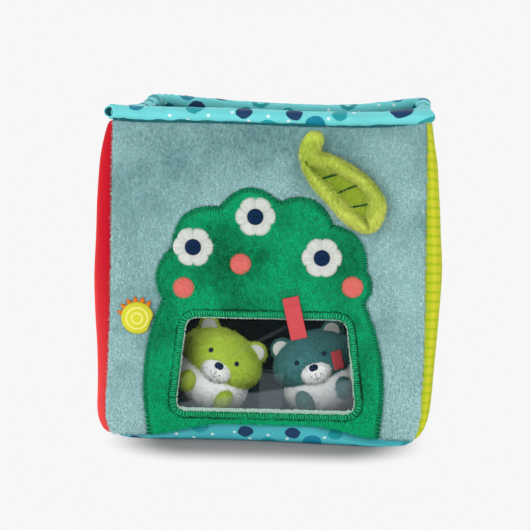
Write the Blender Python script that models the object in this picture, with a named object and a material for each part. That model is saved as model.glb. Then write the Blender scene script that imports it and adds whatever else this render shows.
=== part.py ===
"""A soft activity cube for a baby: an open-topped box sewn from plush, knit and printed cotton over wadding
and a foam base, with a clear window in the front and two small stuffed bears inside.

All sizes are in metres. +Z is up, the front faces -Y, and the origin is on the floor under the middle of
the cube."""

import math

import bmesh
import bpy
from mathutils import Matrix, Vector

for leftover in list(bpy.data.objects):
    bpy.data.objects.remove(leftover)

# The box: outside sizes of the sewn panels
TOP_WIDTH = 0.200
BASE_WIDTH = 0.206
DEPTH = 0.200
PANEL_HEIGHT = 0.196
BASE_HEIGHT = 0.009

# Thickness of each layer, and the seam gap that keeps two layers apart
COVER = 0.002
WADDING = 0.006
LINING = 0.001
SEAM = 0.0003
SEAM_WELD_SHARE = 0.1
WALL = COVER + WADDING + LINING + 2 * SEAM

# How the soft walls stand: bellies of the sides, bow in plan at the base and the rim, and the lean of the back
LEFT_BELLY = 0.015
RIGHT_BELLY = 0.011
BACK_BELLY = 0.004
BELLY_ROUNDNESS = 0.8
SIDE_BASE_BOW = 0.004
SIDE_RIM_BOW = 0.006
BACK_SLOUCH = 0.0095
FRONT_LEFT_LIFT = 0.003
FRONT_RIGHT_LIFT = 0.003
BACK_RIGHT_LIFT = 0.004
BACK_LEFT_LIFT = 0.0065
WALL_CELLS = 8

# The foam base in its cotton cover
BASE_COVER = 0.0012
BASE_EDGE_ROUND = 0.003
ROUND_MIDWAY_SHARE = 1 - math.cos(math.radians(45.0))
BASE_POINTS_A_SIDE = 8

# The rolled rim and its filling
ROLL_DIAMETER = 0.0105
ROLL_COTTON = 0.0012
ROLL_OVERHANG = 0.003
ROLL_CORNER_CLEARANCE = 0.0008
FILLING_SETBACK = 0.003
ROLL_SIDES = 10
ROLL_STEPS = 10

# The window, wider at its lower edge, with its film
WINDOW_LOWER_WIDTH = 0.117
WINDOW_UPPER_WIDTH = 0.103
WINDOW_HEIGHT = 0.061
WINDOW_SILL = 0.0205
WINDOW_CORNER = 0.008
WINDOW_CORNER_STEPS = 4
FILM = 0.0004
FILM_OVERLAP = 0.006
LAYER_SETBACK = 0.0015

# The applique: corners as shares of half its width and of its height, each with the rise of the arc to the next
# corner as a share of that arc's chord
APPLIQUE_HALF_WIDTH = 0.076
APPLIQUE_HEIGHT = 0.160
APPLIQUE_THICKNESS = 0.0022
APPLIQUE_SHARES = (
    (-1.000, 0.000, 0.08),
    (-0.880, 0.520, 0.20),
    (-0.800, 0.730, 0.26),
    (-0.400, 0.895, 0.27),
    (0.100, 0.920, 0.25),
    (0.550, 0.830, 0.22),
    (0.830, 0.650, 0.20),
    (0.820, 0.520, 0.08),
    (0.965, 0.000, 0.00),
)
ARC_STEPS = 8

# Patches sewn on the applique: place as shares of its half width and height, then the radius
PATCH_THICKNESS = 0.001
BLOSSOM_PETALS = 6
PETAL_NOTCH_SHARE = 0.16
BLOSSOM_POINTS = 36
BERRY_POINTS = 20
BLOSSOM_RADIUS = 0.013
BERRY_RADIUS = 0.007
BLOSSOM_SHARES = {
    "blossom_left": (-0.62, 0.735),
    "blossom_top": (-0.10, 0.860),
    "blossom_right": (0.46, 0.700),
}
BERRY_SHARES = {
    "berry_left": (-0.70, 0.570),
    "berry_middle": (-0.22, 0.670),
    "berry_right": (0.72, 0.585),
}

# The stuffed leaf: a rolled edge round a flat field, drawn along the leaf and across it as shares of its length
LEAF_LENGTH = 0.0625
LEAF_THICKNESS = 0.010
LEAF_FIELD_THICKNESS = 0.001
LEAF_FIELD_DEPTH_SHARE = 0.62
LEAF_LEAN = math.radians(39.0)
LEAF_JOIN_X = 0.0266
LEAF_JOIN_DROP = 0.0195
LEAF_FIELD_SETBACK_SHARE = 1.06
STEM_RADIUS = 0.0063
STEM_LENGTH = 0.012
STEM_LEAN = math.radians(9.0)
STEM_ROOT_SHARE = 0.10
STEM_NECK_SHARE = 0.90
STEM_END_RINGS = 3
STEM_SIDES = 12
LEAF_EDGE_SHARES = (
    (-0.020, -0.100), (0.110, -0.155), (0.280, -0.182), (0.450, -0.168),
    (0.620, -0.165), (0.790, -0.135), (0.930, -0.070), (1.000, 0.030),
    (0.985, 0.150), (0.900, 0.285), (0.770, 0.343), (0.630, 0.346),
    (0.470, 0.312), (0.310, 0.262), (0.160, 0.190), (0.030, 0.100),
)
LEAF_FIELD_SHARES = (
    (0.100, -0.035), (0.150, -0.045), (0.280, -0.031), (0.450, -0.012),
    (0.620, 0.006), (0.750, 0.022), (0.830, 0.030), (0.850, 0.050),
    (0.820, 0.100), (0.760, 0.165), (0.700, 0.203), (0.600, 0.208),
    (0.470, 0.180), (0.330, 0.115), (0.210, 0.045), (0.120, -0.010),
)
# From the sewn back edge over the crest to the field: share of the way in, and share of the thickness
LEAF_ROLL_SHARES = ((0.14, 0.00), (0.00, 0.34), (0.07, 0.74), (0.32, 0.98), (0.62, 0.96), (0.90, 0.76))

# The folded ribbon tag
RIBBON_WIDTH = 0.0105
RIBBON_LENGTH = 0.028
RIBBON_THICKNESS = 0.0006
RIBBON_X = 0.0153
RIBBON_TOP_SHARE = 0.54
RIBBON_LEAN = math.radians(13.0)

# The round fabric tab, sewn in under the applique's left edge
TAB_RADIUS = 0.0105
TAB_THICKNESS = 0.0015
TAB_SEAM_SHARE = 0.85
TAB_PLACE_SHARE = 0.80
TAB_RAYS = 6
TAB_RAY_LENGTH = 0.0045
TAB_RAY_ROOT = 0.0008
TAB_RAYS_FROM = math.radians(-15.0)
TAB_RAYS_TO = math.radians(118.0)
TAB_POINTS = 24

# The stuffed bears: centre (across, forward, up) and radii of each part, in the toy's own frame
HEAD_CENTRE = (0.0, 0.0, 0.0360)
HEAD_RADII = (0.0280, 0.0235, 0.0190)
BODY_CENTRE = (0.0, 0.0, 0.0190)
BODY_RADII = (0.0265, 0.0205, 0.0200)
MUZZLE_CENTRE = (0.0, -0.0190, 0.0315)
MUZZLE_RADII = (0.0105, 0.0075, 0.0078)
EAR_CENTRE = (0.0180, 0.0010, 0.0500)
EAR_RADII = (0.0075, 0.0050, 0.0075)
PAW_CENTRE = (0.0135, -0.0165, 0.0150)
PAW_RADII = (0.0058, 0.0060, 0.0072)
BIG_BALL = (18, 12)
SMALL_BALL = (12, 8)
TOY_SPACING = 0.002
TOY_FRONT_CLEARANCE = 0.003
LIME_TILT = math.radians(28.0)
TEAL_TILT = math.radians(-21.0)
TOY_TAG_WIDTH = 0.0075
TOY_TAG_LENGTH = 0.012
TOY_TAG_THICKNESS = 0.001
TOY_TAG_TOWARDS = (0.80, -1.0, -0.08)
TOY_TAG_TURN = math.radians(8.0)

# Edges that turn by more than this are shaded sharp
SHARP_TURN = math.radians(40.0)


def fabric(name, colour, roughness=0.85):
    """A plain material for one kind of cloth."""
    made = bpy.data.materials.new(name)
    made.use_nodes = True
    shader = made.node_tree.nodes["Principled BSDF"]
    shader.inputs["Base Color"].default_value = (*colour, 1.0)
    shader.inputs["Roughness"].default_value = roughness
    shader.inputs["Metallic"].default_value = 0.0
    return made


PLUSH = fabric("grey_green_plush", (0.20, 0.38, 0.38))
RED_KNIT = fabric("red_knit", (0.65, 0.02, 0.03))
CHECK = fabric("lime_check", (0.61, 0.64, 0.05))
LINING_CLOTH = fabric("lining_cotton", (0.22, 0.42, 0.42))
WADDING_FLEECE = fabric("wadding", (0.80, 0.80, 0.78), 0.95)
FOAM = fabric("foam", (0.75, 0.75, 0.70), 0.95)
PRINT = fabric("dotted_cotton", (0.12, 0.58, 0.62), 0.7)
GREEN = fabric("green_plush", (0.01, 0.24, 0.09))
WHITE = fabric("white_plush", (0.70, 0.72, 0.68))
CORAL = fabric("coral_ribbon", (0.62, 0.10, 0.10), 0.6)
LEAF_GREEN = fabric("lime_plush", (0.42, 0.55, 0.06))
FIELD_GREEN = fabric("leaf_velour", (0.20, 0.33, 0.02))
YELLOW = fabric("yellow_felt", (0.70, 0.70, 0.08))
ORANGE = fabric("orange_felt", (0.74, 0.17, 0.01))
TEAL = fabric("teal_plush", (0.08, 0.22, 0.22))
CLEAR = fabric("clear_film", (0.85, 0.90, 0.90), 0.1)


def object_of(name, bm, paint=None, parent=None):
    """Turns a bmesh into a named object with its faces outwards; with no paint it is a cutter."""
    bmesh.ops.recalc_face_normals(bm, faces=bm.faces)
    mesh = bpy.data.meshes.new(name)
    bm.to_mesh(mesh)
    bm.free()
    mesh.shade_smooth()
    mesh.set_sharp_from_angle(angle=SHARP_TURN)
    made = bpy.data.objects.new(name, mesh)
    bpy.context.scene.collection.objects.link(made)
    if paint:
        mesh.materials.append(paint)
    else:
        made.hide_render = True
        made.display_type = "WIRE"
    made.parent = parent
    return made


def empty_at(name, spot, turn=None):
    """An empty on a joint's axis, which carries the pieces that move together."""
    made = bpy.data.objects.new(name, None)
    made.matrix_world = Matrix.Translation(spot) @ (turn or Matrix.Identity(4))
    bpy.context.scene.collection.objects.link(made)
    return made


def cut(piece, cutter):
    """Takes the cutter's shape out of the piece."""
    modifier = piece.modifiers.new("cut_" + cutter.name, "BOOLEAN")
    modifier.operation = "DIFFERENCE"
    modifier.solver = "EXACT"
    modifier.object = cutter


def loft(rings, capped=True):
    """A skin over rings with equal numbers of points, in order."""
    bm = bmesh.new()
    loops = [[bm.verts.new(spot) for spot in ring] for ring in rings]
    for lower, upper in zip(loops, loops[1:]):
        for i, corner_here in enumerate(lower):
            j = (i + 1) % len(lower)
            bm.faces.new((corner_here, lower[j], upper[j], upper[i]))
    if capped:
        bm.faces.new(loops[0][::-1])
        bm.faces.new(loops[-1])
    return bm


def extruded(outline, way):
    """A flat outline pushed along way into a solid."""
    bm = bmesh.new()
    face = bm.faces.new([bm.verts.new(spot) for spot in outline])
    pushed = bmesh.ops.extrude_face_region(bm, geom=[face])["geom"]
    moved = [item for item in pushed if isinstance(item, bmesh.types.BMVert)]
    bmesh.ops.translate(bm, verts=moved, vec=way)
    return bm


def upright_plate(outline, back, front):
    """A plate in the front's plane: outline points are (x, z), and it reaches from y = back to y = front."""
    return extruded([(x, back, z) for x, z in outline], (0, front - back, 0))


def corner(k, v):
    """Corner k of the plan at height share v: front left, front right, back right, back left."""
    k %= 4
    half = (BASE_WIDTH + (TOP_WIDTH - BASE_WIDTH) * v) / 2
    lean = BACK_SLOUCH * v * v if k in (2, 3) else 0
    return Vector((half if k in (1, 2) else -half, DEPTH / 2 if k in (2, 3) else -DEPTH / 2)) + Vector((lean, 0))


def inset_corner(k, v, inset):
    """The same corner, drawn in by inset from both of its walls."""
    here = corner(k, v)
    along_before = (here - corner(k - 1, v)).normalized()
    along_after = (corner(k + 1, v) - here).normalized()
    inward_before = Vector((-along_before.y, along_before.x))
    inward_after = Vector((-along_after.y, along_after.x))
    return here + (inward_before + inward_after) * inset / (1 + inward_before.dot(inward_after))


def bow(side, u, v):
    """How far a side wall as a whole curves out in plan. The front and the back run straight."""
    if side in (0, 2):
        return 0
    return (SIDE_BASE_BOW + (SIDE_RIM_BOW - SIDE_BASE_BOW) * v) * math.sin(math.pi * u) ** 2


def belly(side, u, v):
    """How far the stuffed outer face swells beyond that."""
    fullest = (0, RIGHT_BELLY, BACK_BELLY, LEFT_BELLY)[side]
    return fullest * (math.sin(math.pi * u) * math.sin(math.pi * v)) ** BELLY_ROUNDNESS


WALL_FOOT = BASE_HEIGHT + SEAM


def wall_top(side, spot):
    """The height of a wall over a spot of the plan. The rim rises from its middle towards each corner."""
    start, end = corner(side, 1), corner(side + 1, 1)
    along = (end - start) / (end - start).length_squared
    from_middle = 2 * min(max((spot - start).dot(along), 0), 1) - 1
    lifts = (FRONT_LEFT_LIFT, FRONT_RIGHT_LIFT, BACK_RIGHT_LIFT, BACK_LEFT_LIFT)
    nearer = lifts[side] if from_middle < 0 else lifts[(side + 1) % 4]
    return WALL_FOOT + PANEL_HEIGHT + nearer * from_middle ** 2


def wall_spot(side, u, v, inset, fullness):
    """A point of a wall: u along it, v up it, inset from its outer face, with its share of the belly."""
    start, end = inset_corner(side, v, inset), inset_corner(side + 1, v, inset)
    along = (end - start).normalized()
    start, end = start + along * SEAM, end - along * SEAM
    outward = Vector((along.y, -along.x))
    spot = start.lerp(end, u) + outward * (bow(side, u, v) + belly(side, u, v) * fullness)
    return Vector((*spot, WALL_FOOT + (wall_top(side, spot) - WALL_FOOT) * v))


def wall_layer(name, side, outer, inner, paint):
    """One layer of a wall, between an outer and an inner face, each given as (inset, share of the belly)."""
    bm = bmesh.new()
    bmesh.ops.create_grid(bm, x_segments=WALL_CELLS, y_segments=WALL_CELLS, size=1)
    bmesh.ops.triangulate(bm, faces=bm.faces[:], quad_method="FIXED")
    pushed = bmesh.ops.extrude_face_region(bm, geom=bm.faces[:])["geom"]
    inside = {item for item in pushed if isinstance(item, bmesh.types.BMVert)}
    for vert in bm.verts:
        u, v = (vert.co.x + 1) / 2, (vert.co.y + 1) / 2
        vert.co = wall_spot(side, u, v, *(inner if vert in inside else outer))
    return object_of(name, bm, paint)


def rounded_outline(corners, radius):
    """An outline through corners, each rounded by a smooth bend that starts radius away from it."""
    outline = []
    for i, here in enumerate(corners):
        enter = here + (corners[i - 1] - here).normalized() * radius
        leave = here + (corners[(i + 1) % len(corners)] - here).normalized() * radius
        for step in range(WINDOW_CORNER_STEPS + 1):
            t = step / WINDOW_CORNER_STEPS
            outline.append(enter.lerp(here, t).lerp(here.lerp(leave, t), t))
    return outline


def window_outline(margin):
    """The window's edge, let out by margin all round."""
    low, high = WINDOW_SILL - margin, WINDOW_SILL + WINDOW_HEIGHT + margin
    wide, narrow = WINDOW_LOWER_WIDTH / 2 + margin, WINDOW_UPPER_WIDTH / 2 + margin
    corners = [Vector((-wide, low)), Vector((wide, low)), Vector((narrow, high)), Vector((-narrow, high))]
    return rounded_outline(corners, WINDOW_CORNER + margin)


def arc_spot(start, end, rise_share, t):
    """A point on a shallow arc from start to end, which bulges to the left of the way by rise_share of its chord."""
    chord = end - start
    left = Vector((-chord.y, chord.x))
    return start.lerp(end, t) + left * rise_share * 4 * t * (1 - t)


def applique_corner(i):
    across, up, _ = APPLIQUE_SHARES[i % len(APPLIQUE_SHARES)]
    return Vector((across * APPLIQUE_HALF_WIDTH, WALL_FOOT + up * APPLIQUE_HEIGHT))


def applique_outline():
    outline = []
    for i, (_, _, rise) in enumerate(APPLIQUE_SHARES):
        steps = ARC_STEPS if rise else 1
        for step in range(steps):
            outline.append(arc_spot(applique_corner(i), applique_corner(i + 1), rise, step / steps))
    return outline


# Walls: cover, wadding and lining on each of the four sides
SIDES = ("front", "right", "back", "left")
COVERS = (PLUSH, CHECK, PLUSH, RED_KNIT)
COVER_FACES = ((0, 1), (COVER, 1))
WADDING_FACES = ((COVER + SEAM, 1), (COVER + SEAM + WADDING, 0))
LINING_FACES = ((WALL - LINING, 0), (WALL, 0))
FRONT_Y = -DEPTH / 2
for side, side_name in enumerate(SIDES):
    layers = (
        wall_layer(side_name + "_cover", side, *COVER_FACES, COVERS[side]),
        wall_layer(side_name + "_wadding", side, *WADDING_FACES, WADDING_FLEECE),
        wall_layer(side_name + "_lining", side, *LINING_FACES, LINING_CLOTH),
    )
    if side_name != "front":
        continue
    for number, layer in enumerate(layers, start=1):
        opening = window_outline(number * LAYER_SETBACK)
        hole = upright_plate(opening, FRONT_Y - WALL, FRONT_Y + 2 * WALL)
        cut(layer, object_of(f"window_hole_{number}", hole))


# Base: a foam board in a cotton tray, with the inside floor on top
def plan_ring(inset, height):
    """The outline of the base at a height, drawn in by inset."""
    ring = []
    for side in range(4):
        start, end = inset_corner(side, 0, inset), inset_corner(side + 1, 0, inset)
        along = (end - start).normalized()
        outward = Vector((along.y, -along.x))
        for step in range(BASE_POINTS_A_SIDE):
            u = step / BASE_POINTS_A_SIDE
            ring.append((*(start.lerp(end, u) + outward * bow(side, u, 0)), height))
    return ring


object_of(
    "base_cover",
    loft([
        plan_ring(BASE_EDGE_ROUND, 0),
        plan_ring(BASE_EDGE_ROUND * ROUND_MIDWAY_SHARE, BASE_EDGE_ROUND * ROUND_MIDWAY_SHARE),
        plan_ring(0, BASE_EDGE_ROUND),
        plan_ring(0, BASE_HEIGHT),
        plan_ring(BASE_COVER, BASE_HEIGHT),
        plan_ring(BASE_COVER, BASE_EDGE_ROUND),
        plan_ring(BASE_EDGE_ROUND + BASE_COVER, BASE_COVER),
    ]),
    PRINT,
)
object_of(
    "base_foam",
    loft([
        plan_ring(BASE_EDGE_ROUND + BASE_COVER + SEAM, BASE_COVER + SEAM),
        plan_ring(BASE_COVER + SEAM, BASE_EDGE_ROUND + SEAM),
        plan_ring(BASE_COVER + SEAM, BASE_HEIGHT),
    ]),
    FOAM,
)
FLOOR_TOP = WALL_FOOT + LINING
object_of(
    "base_lining",
    loft([plan_ring(WALL + SEAM, WALL_FOOT), plan_ring(WALL + SEAM, FLOOR_TOP)]),
    LINING_CLOTH,
)


# Rim: a cotton tube along each wall, open at its ends, over a cord of filling
def roll_path(side, reach):
    """The middle of a rim roll, from reach beyond the crossing of two rolls to reach beyond the next."""
    start, end = inset_corner(side, 1, WALL / 2), inset_corner(side + 1, 1, WALL / 2)
    along = (end - start).normalized()
    outward = Vector((along.y, -along.x))
    length = (end - start).length
    path = []
    for step in range(ROLL_STEPS + 1):
        distance = -reach + (length + 2 * reach) * step / ROLL_STEPS
        u = min(max(distance / length, 0), 1)
        spot = start + along * distance + outward * bow(side, u, 1)
        path.append(Vector((*spot, wall_top(side, spot) + SEAM + ROLL_DIAMETER / 2)))
    return path


def ring_at(path, i, radius, sides=ROLL_SIDES):
    """A circle round point i of a path, square to it, with a point straight up."""
    ahead = (path[min(i + 1, len(path) - 1)] - path[max(i - 1, 0)]).normalized()
    across = ahead.cross(Vector((0, 0, 1))).normalized()
    above = across.cross(ahead)
    turns = [2 * math.pi * k / sides for k in range(sides)]
    return [path[i] + (above * math.cos(a) + across * math.sin(a)) * radius for a in turns]


def closed_skin(rings):
    """A hollow ring-shaped skin: the last ring is joined back to the first."""
    return loft([*rings, rings[0]], capped=False)


for side, side_name in enumerate(SIDES):
    if side in (0, 2):
        reach = WALL / 2 + ROLL_OVERHANG
    else:
        reach = -(ROLL_DIAMETER / 2 + ROLL_CORNER_CLEARANCE)
    path = roll_path(side, reach)
    outside = [ring_at(path, i, ROLL_DIAMETER / 2) for i in range(len(path))]
    bore = [ring_at(path, i, ROLL_DIAMETER / 2 - ROLL_COTTON) for i in range(len(path))]
    tube = closed_skin(outside + bore[::-1])
    bmesh.ops.remove_doubles(tube, verts=tube.verts, dist=SEAM * SEAM_WELD_SHARE)
    object_of(f"rim_{side_name}_cover", tube, PRINT)
    cord = roll_path(side, reach - FILLING_SETBACK)
    thickness = ROLL_DIAMETER / 2 - ROLL_COTTON - SEAM
    rod = loft([ring_at(cord, i, thickness) for i in range(len(cord))])
    object_of(f"rim_{side_name}_filling", rod, WADDING_FLEECE)

# Front: the film over the window, the applique round it and the patches sewn on it
FILM_BACK = FRONT_Y - SEAM
object_of("window_film", upright_plate(window_outline(FILM_OVERLAP), FILM_BACK, FILM_BACK - FILM), CLEAR)
APPLIQUE_BACK = FILM_BACK - FILM - SEAM
APPLIQUE_FACE = APPLIQUE_BACK - APPLIQUE_THICKNESS
applique = object_of("applique", upright_plate(applique_outline(), APPLIQUE_BACK, APPLIQUE_FACE), GREEN)
window_cutter = upright_plate(window_outline(0), APPLIQUE_BACK + WALL, APPLIQUE_FACE - WALL)
cut(applique, object_of("window_hole_applique", window_cutter))


def petalled(centre, radius, petals, notch_share, points):
    """A round outline with notched petals, or a plain circle with no notch."""
    outline = []
    for k in range(points):
        angle = 2 * math.pi * k / points
        reach = radius * (1 - notch_share + notch_share * abs(math.cos(petals * angle / 2)))
        outline.append(centre + Vector((math.cos(angle), math.sin(angle))) * reach)
    return outline


def sew_patch(name, shares, radius, notch_share, points, paint):
    centre = Vector((shares[0] * APPLIQUE_HALF_WIDTH, WALL_FOOT + shares[1] * APPLIQUE_HEIGHT))
    outline = petalled(centre, radius, BLOSSOM_PETALS, notch_share, points)
    back = APPLIQUE_FACE - SEAM
    object_of(name, upright_plate(outline, back, back - PATCH_THICKNESS), paint)


for name, shares in BLOSSOM_SHARES.items():
    sew_patch(name, shares, BLOSSOM_RADIUS, PETAL_NOTCH_SHARE, BLOSSOM_POINTS, WHITE)
for name, shares in BERRY_SHARES.items():
    sew_patch(name, shares, BERRY_RADIUS, 0, BERRY_POINTS, CORAL)

# Leaf: stuffed plush with a flat field let into its face, hung from the top of its stem
LEAF_JOIN = Vector((LEAF_JOIN_X, 0, WALL_FOOT + PANEL_HEIGHT - LEAF_JOIN_DROP))
STEM_UP = Vector((math.sin(STEM_LEAN), 0, math.cos(STEM_LEAN)))
LEAF_DOWN = Vector((math.sin(LEAF_LEAN), 0, -math.cos(LEAF_LEAN)))
LEAF_ACROSS = Vector((math.cos(LEAF_LEAN), 0, math.sin(LEAF_LEAN)))
LEAF_BACK = APPLIQUE_FACE - 2 * SEAM
STEM_END = LEAF_JOIN + STEM_UP * STEM_LENGTH
STEM_END.y = FRONT_Y - SEAM - STEM_RADIUS
leaf_hinge = empty_at("leaf_hinge", STEM_END)


def leaf_spot(along_share, across_share, y):
    spot = LEAF_JOIN + (LEAF_DOWN * along_share + LEAF_ACROSS * across_share) * LEAF_LENGTH
    spot.y = y
    return spot - STEM_END


def leaf_ring(in_share, y):
    """A ring of the leaf's rolled edge, in_share of the way from its outer edge to its field."""
    ring = []
    for (a, b), (c, d) in zip(LEAF_EDGE_SHARES, LEAF_FIELD_SHARES):
        ring.append(leaf_spot(a + (c - a) * in_share, b + (d - b) * in_share, y))
    return ring


field_y = LEAF_BACK - LEAF_THICKNESS * LEAF_FIELD_DEPTH_SHARE
leaf_rings = [leaf_ring(share, LEAF_BACK - LEAF_THICKNESS * rise) for share, rise in LEAF_ROLL_SHARES]
leaf_plush = object_of("leaf_plush", loft([*leaf_rings, leaf_ring(1, field_y)]), LEAF_GREEN, leaf_hinge)
field = extruded(leaf_ring(LEAF_FIELD_SETBACK_SHARE, field_y - SEAM), (0, -LEAF_FIELD_THICKNESS, 0))
object_of("leaf_field", field, FIELD_GREEN, leaf_hinge)


def stem_shape():
    """A round-ended tube from the hinge down into the leaf."""
    foot = leaf_spot(STEM_ROOT_SHARE, 0, LEAF_BACK - LEAF_THICKNESS / 2)
    way = foot.normalized()
    across = way.cross(Vector((0, 1, 0))).normalized()
    sections = []
    for step in range(1, STEM_END_RINGS + 1):
        angle = math.pi / 2 * step / STEM_END_RINGS
        sections.append((-STEM_RADIUS * math.cos(angle), STEM_RADIUS * math.sin(angle)))
    sections.append((foot.length, STEM_RADIUS * STEM_NECK_SHARE))
    rings = []
    for along, radius in sections:
        turns = [2 * math.pi * k / STEM_SIDES for k in range(STEM_SIDES)]
        beside = way.cross(across)
        rings.append([way * along + (across * math.cos(a) + beside * math.sin(a)) * radius for a in turns])
    return loft(rings)


stem = object_of("leaf_stem_shape", stem_shape(), parent=leaf_hinge)
joined = leaf_plush.modifiers.new("join_stem", "BOOLEAN")
joined.operation = "UNION"
joined.solver = "EXACT"
joined.object = stem


# Ribbon: one strip folded at its lower end, both ends caught in the seam above
def ribbon_profile():
    """The strip seen from its edge, as (y, z): down the back ply, round the fold and up the front ply."""
    fold = RIBBON_THICKNESS + SEAM / 2
    foot = -RIBBON_LENGTH + fold
    profile = []
    for radius, order in ((fold, 1), (SEAM / 2, -1)):
        bend = []
        for step in range(ARC_STEPS + 1):
            angle = math.pi * step / ARC_STEPS
            bend.append((radius * math.cos(angle), foot - radius * math.sin(angle)))
        profile += [(radius, 0), *bend, (-radius, 0)][::order]
    return profile


ribbon_spot = Vector((
    RIBBON_X,
    APPLIQUE_FACE - SEAM - RIBBON_THICKNESS - SEAM / 2,
    WALL_FOOT + RIBBON_TOP_SHARE * APPLIQUE_HEIGHT,
))
ribbon_hinge = empty_at("ribbon_hinge", ribbon_spot, Matrix.Rotation(-RIBBON_LEAN, 4, "Y"))
ribbon_edge = [(-RIBBON_WIDTH / 2, y, z) for y, z in ribbon_profile()]
object_of("ribbon_tag", extruded(ribbon_edge, (RIBBON_WIDTH, 0, 0)), CORAL, ribbon_hinge)

# Tab: a felt disc over a rayed backing, hinged on a line along the applique's left edge
TAB_DEPTH = 2 * TAB_THICKNESS + SEAM
tab_near = arc_spot(applique_corner(0), applique_corner(1), APPLIQUE_SHARES[0][2], TAB_PLACE_SHARE)
tab_ahead = arc_spot(applique_corner(0), applique_corner(1), APPLIQUE_SHARES[0][2], 1)
tab_up = (tab_ahead - tab_near).normalized()
tab_out = Vector((-tab_up.y, tab_up.x))
tab_foot = tab_near + tab_out * (TAB_DEPTH / 2 + SEAM)
tab_hinge = empty_at("tab_hinge", Vector((tab_foot.x, FRONT_Y - SEAM - TAB_DEPTH / 2, tab_foot.y)))


def tab_outline(spokes, y):
    """The points at each (angle, radius) round the tab's middle, which the seam cuts off square."""
    middle = tab_out * TAB_RADIUS * TAB_SEAM_SHARE
    outline = []
    for angle, radius in spokes:
        spot = middle + (tab_out * math.cos(angle) + tab_up * math.sin(angle)) * radius
        outline.append((spot.x, y, spot.y))
    return outline


def tab_spokes(radius):
    """The round edge, from the seam's lower end to its upper end."""
    most = math.acos(-TAB_SEAM_SHARE * TAB_RADIUS / radius)
    return [(-most + 2 * most * k / TAB_POINTS, radius) for k in range(TAB_POINTS + 1)]


def ray_spokes():
    """The backing's edge: hidden behind the disc, and rayed round its upper left."""
    inner = TAB_RADIUS - TAB_RAY_ROOT
    spokes = [spoke for spoke in tab_spokes(inner) if spoke[0] < TAB_RAYS_FROM]
    for k in range(2 * TAB_RAYS + 1):
        angle = TAB_RAYS_FROM + (TAB_RAYS_TO - TAB_RAYS_FROM) * k / (2 * TAB_RAYS)
        spokes.append((angle, inner + (k % 2) * (TAB_RAY_ROOT + TAB_RAY_LENGTH)))
    return spokes + [spoke for spoke in tab_spokes(inner) if spoke[0] > TAB_RAYS_TO]


rays_back = TAB_DEPTH / 2
disc_back = rays_back - TAB_THICKNESS - SEAM
rays = extruded(tab_outline(ray_spokes(), rays_back), (0, -TAB_THICKNESS, 0))
object_of("tab_rays", rays, ORANGE, tab_hinge)
disc = extruded(tab_outline(tab_spokes(TAB_RADIUS), disc_back), (0, -TAB_THICKNESS, 0))
object_of("tab_disc", disc, YELLOW, tab_hinge)


# Toys: two stuffed bears, which lean together behind the window
def mirrored(centre):
    return (-centre[0], centre[1], centre[2])


TOY_PARTS = {
    "head": (HEAD_CENTRE, HEAD_RADII, BIG_BALL),
    "body": (BODY_CENTRE, BODY_RADII, BIG_BALL),
    "muzzle": (MUZZLE_CENTRE, MUZZLE_RADII, SMALL_BALL),
    "ear_left": (mirrored(EAR_CENTRE), EAR_RADII, SMALL_BALL),
    "ear_right": (EAR_CENTRE, EAR_RADII, SMALL_BALL),
    "paw_left": (mirrored(PAW_CENTRE), PAW_RADII, SMALL_BALL),
    "paw_right": (PAW_CENTRE, PAW_RADII, SMALL_BALL),
}
WHITE_PARTS = ("body", "muzzle")
CUT_BY = {
    "head": (),
    "body": ("head",),
    "muzzle": ("head", "body"),
    "ear_left": ("head",),
    "ear_right": ("head",),
    "paw_left": ("body", "head"),
    "paw_right": ("body", "head"),
}


def ball(centre, radii, counts, growth=0):
    """A stuffed part as an ellipsoid, let out by growth."""
    bm = bmesh.new()
    size = Matrix.Diagonal([radius + growth for radius in radii] + [1])
    place = Matrix.Translation(centre) @ size
    bmesh.ops.create_uvsphere(bm, u_segments=counts[0], v_segments=counts[1], radius=1, matrix=place)
    return bm


def toy_reach(turn, way):
    """How far the tilted toy reaches from its own origin along a direction."""
    local = turn.to_3x3().transposed() @ Vector(way)
    reaches = []
    for centre, radii, _ in TOY_PARTS.values():
        swell = Vector([radius * part for radius, part in zip(radii, local)]).length
        reaches.append(Vector(centre).dot(local) + swell)
    return max(reaches)


def stuffed_bear(name, towards, tilt, paint):
    """One bear on the inside floor, just behind the front lining, beside the middle on the side of towards."""
    turn = Matrix.Rotation(tilt, 4, "Y")
    spot = Vector((
        towards * (TOY_SPACING / 2 + toy_reach(turn, (-towards, 0, 0))),
        FRONT_Y + WALL + TOY_FRONT_CLEARANCE + toy_reach(turn, (0, -1, 0)),
        FLOOR_TOP + SEAM + toy_reach(turn, (0, 0, -1)),
    ))
    frame = empty_at(name + "_frame", spot, turn)
    cutters = {}
    for part in ("head", "body"):
        shape = ball(*TOY_PARTS[part], growth=SEAM)
        cutters[part] = object_of(f"{name}_{part}_cutter", shape, parent=frame)
    for part, (centre, radii, counts) in TOY_PARTS.items():
        colour = WHITE if part in WHITE_PARTS else paint
        piece = object_of(f"{name}_{part}", ball(centre, radii, counts), colour, frame)
        for larger in CUT_BY[part]:
            cut(piece, cutters[larger])
    return frame


stuffed_bear("toy_lime", -1, LIME_TILT, LEAF_GREEN)
teal_frame = stuffed_bear("toy_teal", 1, TEAL_TILT, TEAL)

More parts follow.
